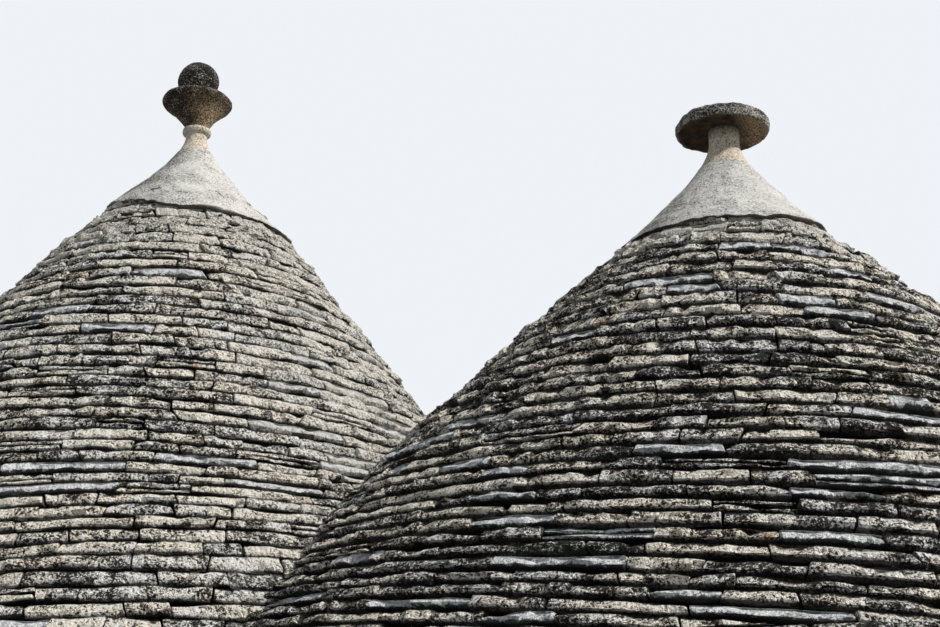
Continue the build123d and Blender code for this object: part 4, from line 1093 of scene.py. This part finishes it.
def corbelled_stone():
    """Rough stones in courses seen from below, whitened with lime: dark joints every nine centimetres of
    height, bent by a cloud."""
    made, place = new_finish("corbelled stone")
    height = height_of(place) + noise(place, 4) * 0.05
    joint = ramp(height.worked("PINGPONG", 0.045) * 20.0, (0.02, 0), (0.16, 1))
    colour = ramp(noise(place, 14, 6, 0.65), (0.35, (0.40, 0.37, 0.31)), (0.65, (0.68, 0.65, 0.58)))
    colour = blend(joint, (0.10, 0.085, 0.07), colour)
    surface(colour, 0.93, joint * 1.5 + noise(place, 45, 5), 0.8, 0.015)
    return made


floor_stone = dressed_limestone("paving limestone", (0.62, 0.57, 0.48), (0.34, 0.30, 0.23))
floor_rng = np.random.default_rng(31)
floors = {
    "right": paving(0.3, 2.7, -1.2, 1.2, floor_rng) + paving(1.05, 1.95, -2.3, -1.2, floor_rng),
    "left": paving(-2.7, -0.3, -1.2, 1.2, floor_rng) + paving(-0.3, 0.3, -0.75, 0.75, floor_rng),
}
for side, slabs in floors.items():
    bed_points, bed_faces = merged_copy([f"{side}_floor"])
    bed_points[:, 2] *= BED_SHARE
    bed = new_piece(f"{side}_floor_bed", bed_points, [bed_faces], mortar)
    floor = worked_boxes(f"{side}_paving", slabs, floor_stone, 0.007, 0.0025, along=4)
    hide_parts(f"{side}_floor")
    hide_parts(f"{side}_floor")
for name in ("middle_front_pier", "middle_back_pier", "middle_arch"):
    dress_node(name, mortar)
dome_stone = corbelled_stone()
for side in CONES:
    for name in (f"{side}_dome_even_segments", f"{side}_dome_odd_segments"):
        dress_node(name, dome_stone)
    dress_node(f"{side}_closing_slab", dressed_stone)
    dress_node(f"{side}_roof_fill", dome_stone)
dress_node("eaves_middle", dome_stone)

# Studio: a plain pale floor, a pale background, one broad high lamp from the right and an even fill.
# The camera stands on the ground in front of the right cone and looks up at both tops.
EYE = np.array([2.390, -7.950, 1.45])
PITCH = np.radians(20.75)
ROLL = np.radians(0.63)
FLOOR_HALF = 150.0


def stand(thing, right, up, back, at=(0.0, 0.0, 0.0)):
    """Puts a camera or a lamp in the scene, with its own axes along these directions."""
    turned_to = np.eye(4)
    turned_to[:3] = np.stack([right, up, back, at], -1)
    thing.matrix_world = Matrix(turned_to.tolist())
    bpy.context.scene.collection.objects.link(thing)


level_ahead = np.array([-0.2716, 0.9624, 0.0])
level_right = np.array([0.9624, 0.2716, 0.0])
upright = np.array([0.0, 0.0, 1.0])
ahead = np.cos(PITCH) * level_ahead + np.sin(PITCH) * upright
top = -np.sin(PITCH) * level_ahead + np.cos(PITCH) * upright
view_right = np.cos(ROLL) * level_right + np.sin(ROLL) * top
view_up = -np.sin(ROLL) * level_right + np.cos(ROLL) * top
camera = bpy.data.objects.new("camera", bpy.data.cameras.new("camera"))
camera.data.sensor_width = 36.0
camera.data.lens = 65.1
camera.data.clip_end = 500.0
stand(camera, view_right, view_up, -ahead, EYE)
bpy.context.scene.camera = camera

sun = bpy.data.objects.new("high lamp", bpy.data.lights.new("high lamp", "SUN"))
sun.data.energy = 3.3
sun.data.angle = np.radians(6)
sun.data.color = (1.0, 0.975, 0.94)
sun_from = np.array([0.752, -0.15, 0.643])
side_axis = np.cross(upright, sun_from)
side_axis = side_axis / np.linalg.norm(side_axis)
back_axis = sun_from / np.linalg.norm(sun_from)
stand(sun, side_axis, np.cross(back_axis, side_axis), back_axis)

bpy.context.scene.view_settings.view_transform = "Standard"
world = bpy.data.worlds.new("pale surroundings")
bpy.context.scene.world = world
world.use_nodes = True
tree = world.node_tree
tree.nodes.clear()
rays = node(tree, "ShaderNodeLightPath")
direct, glossy, glass = (
    Shade(rays.outputs[name]) for name in ("Is Camera Ray", "Is Glossy Ray", "Is Transmission Ray")
)
seen = direct.worked("MAXIMUM", glossy).worked("MAXIMUM", glass)
fill = node(tree, "ShaderNodeBackground", {"Color": (0.86, 0.93, 1.0, 1), "Strength": 0.30})
shown = node(tree, "ShaderNodeBackground", {"Color": (0.86, 0.89, 0.93, 1), "Strength": 1.0})
mixed = node(tree, "ShaderNodeMixShader", {0: seen, 1: Shade(fill.outputs[0]), 2: Shade(shown.outputs[0])})
node(tree, "ShaderNodeOutputWorld", {"Surface": Shade(mixed.outputs[0])})

floor_mesh = bpy.data.meshes.new("studio_floor")
corners = [(x * FLOOR_HALF, y * FLOOR_HALF, 0) for x, y in ((-1, -1), (1, -1), (1, 1), (-1, 1))]
floor_mesh.from_pydata(corners, [], [(0, 1, 2, 3)])
floor_finish, place = new_finish("studio floor")
seen = Shade(node(place, "ShaderNodeLightPath").outputs["Is Camera Ray"])
away = Shade(node(place, "ShaderNodeVectorMath", {"Vector": place}, operation="LENGTH").outputs["Value"])
pale = ramp(away * 0.01, (0.10, (0.72, 0.73, 0.74)), (0.60, (0.88, 0.91, 0.95)))
surface(blend(seen, (0.30, 0.30, 0.30), pale), 0.9, noise(place, 4), 0.02, 0.002)
floor_mesh.materials.append(floor_finish)
studio_floor = bpy.data.objects.new("studio_floor", floor_mesh)
bpy.context.scene.collection.objects.link(studio_floor)
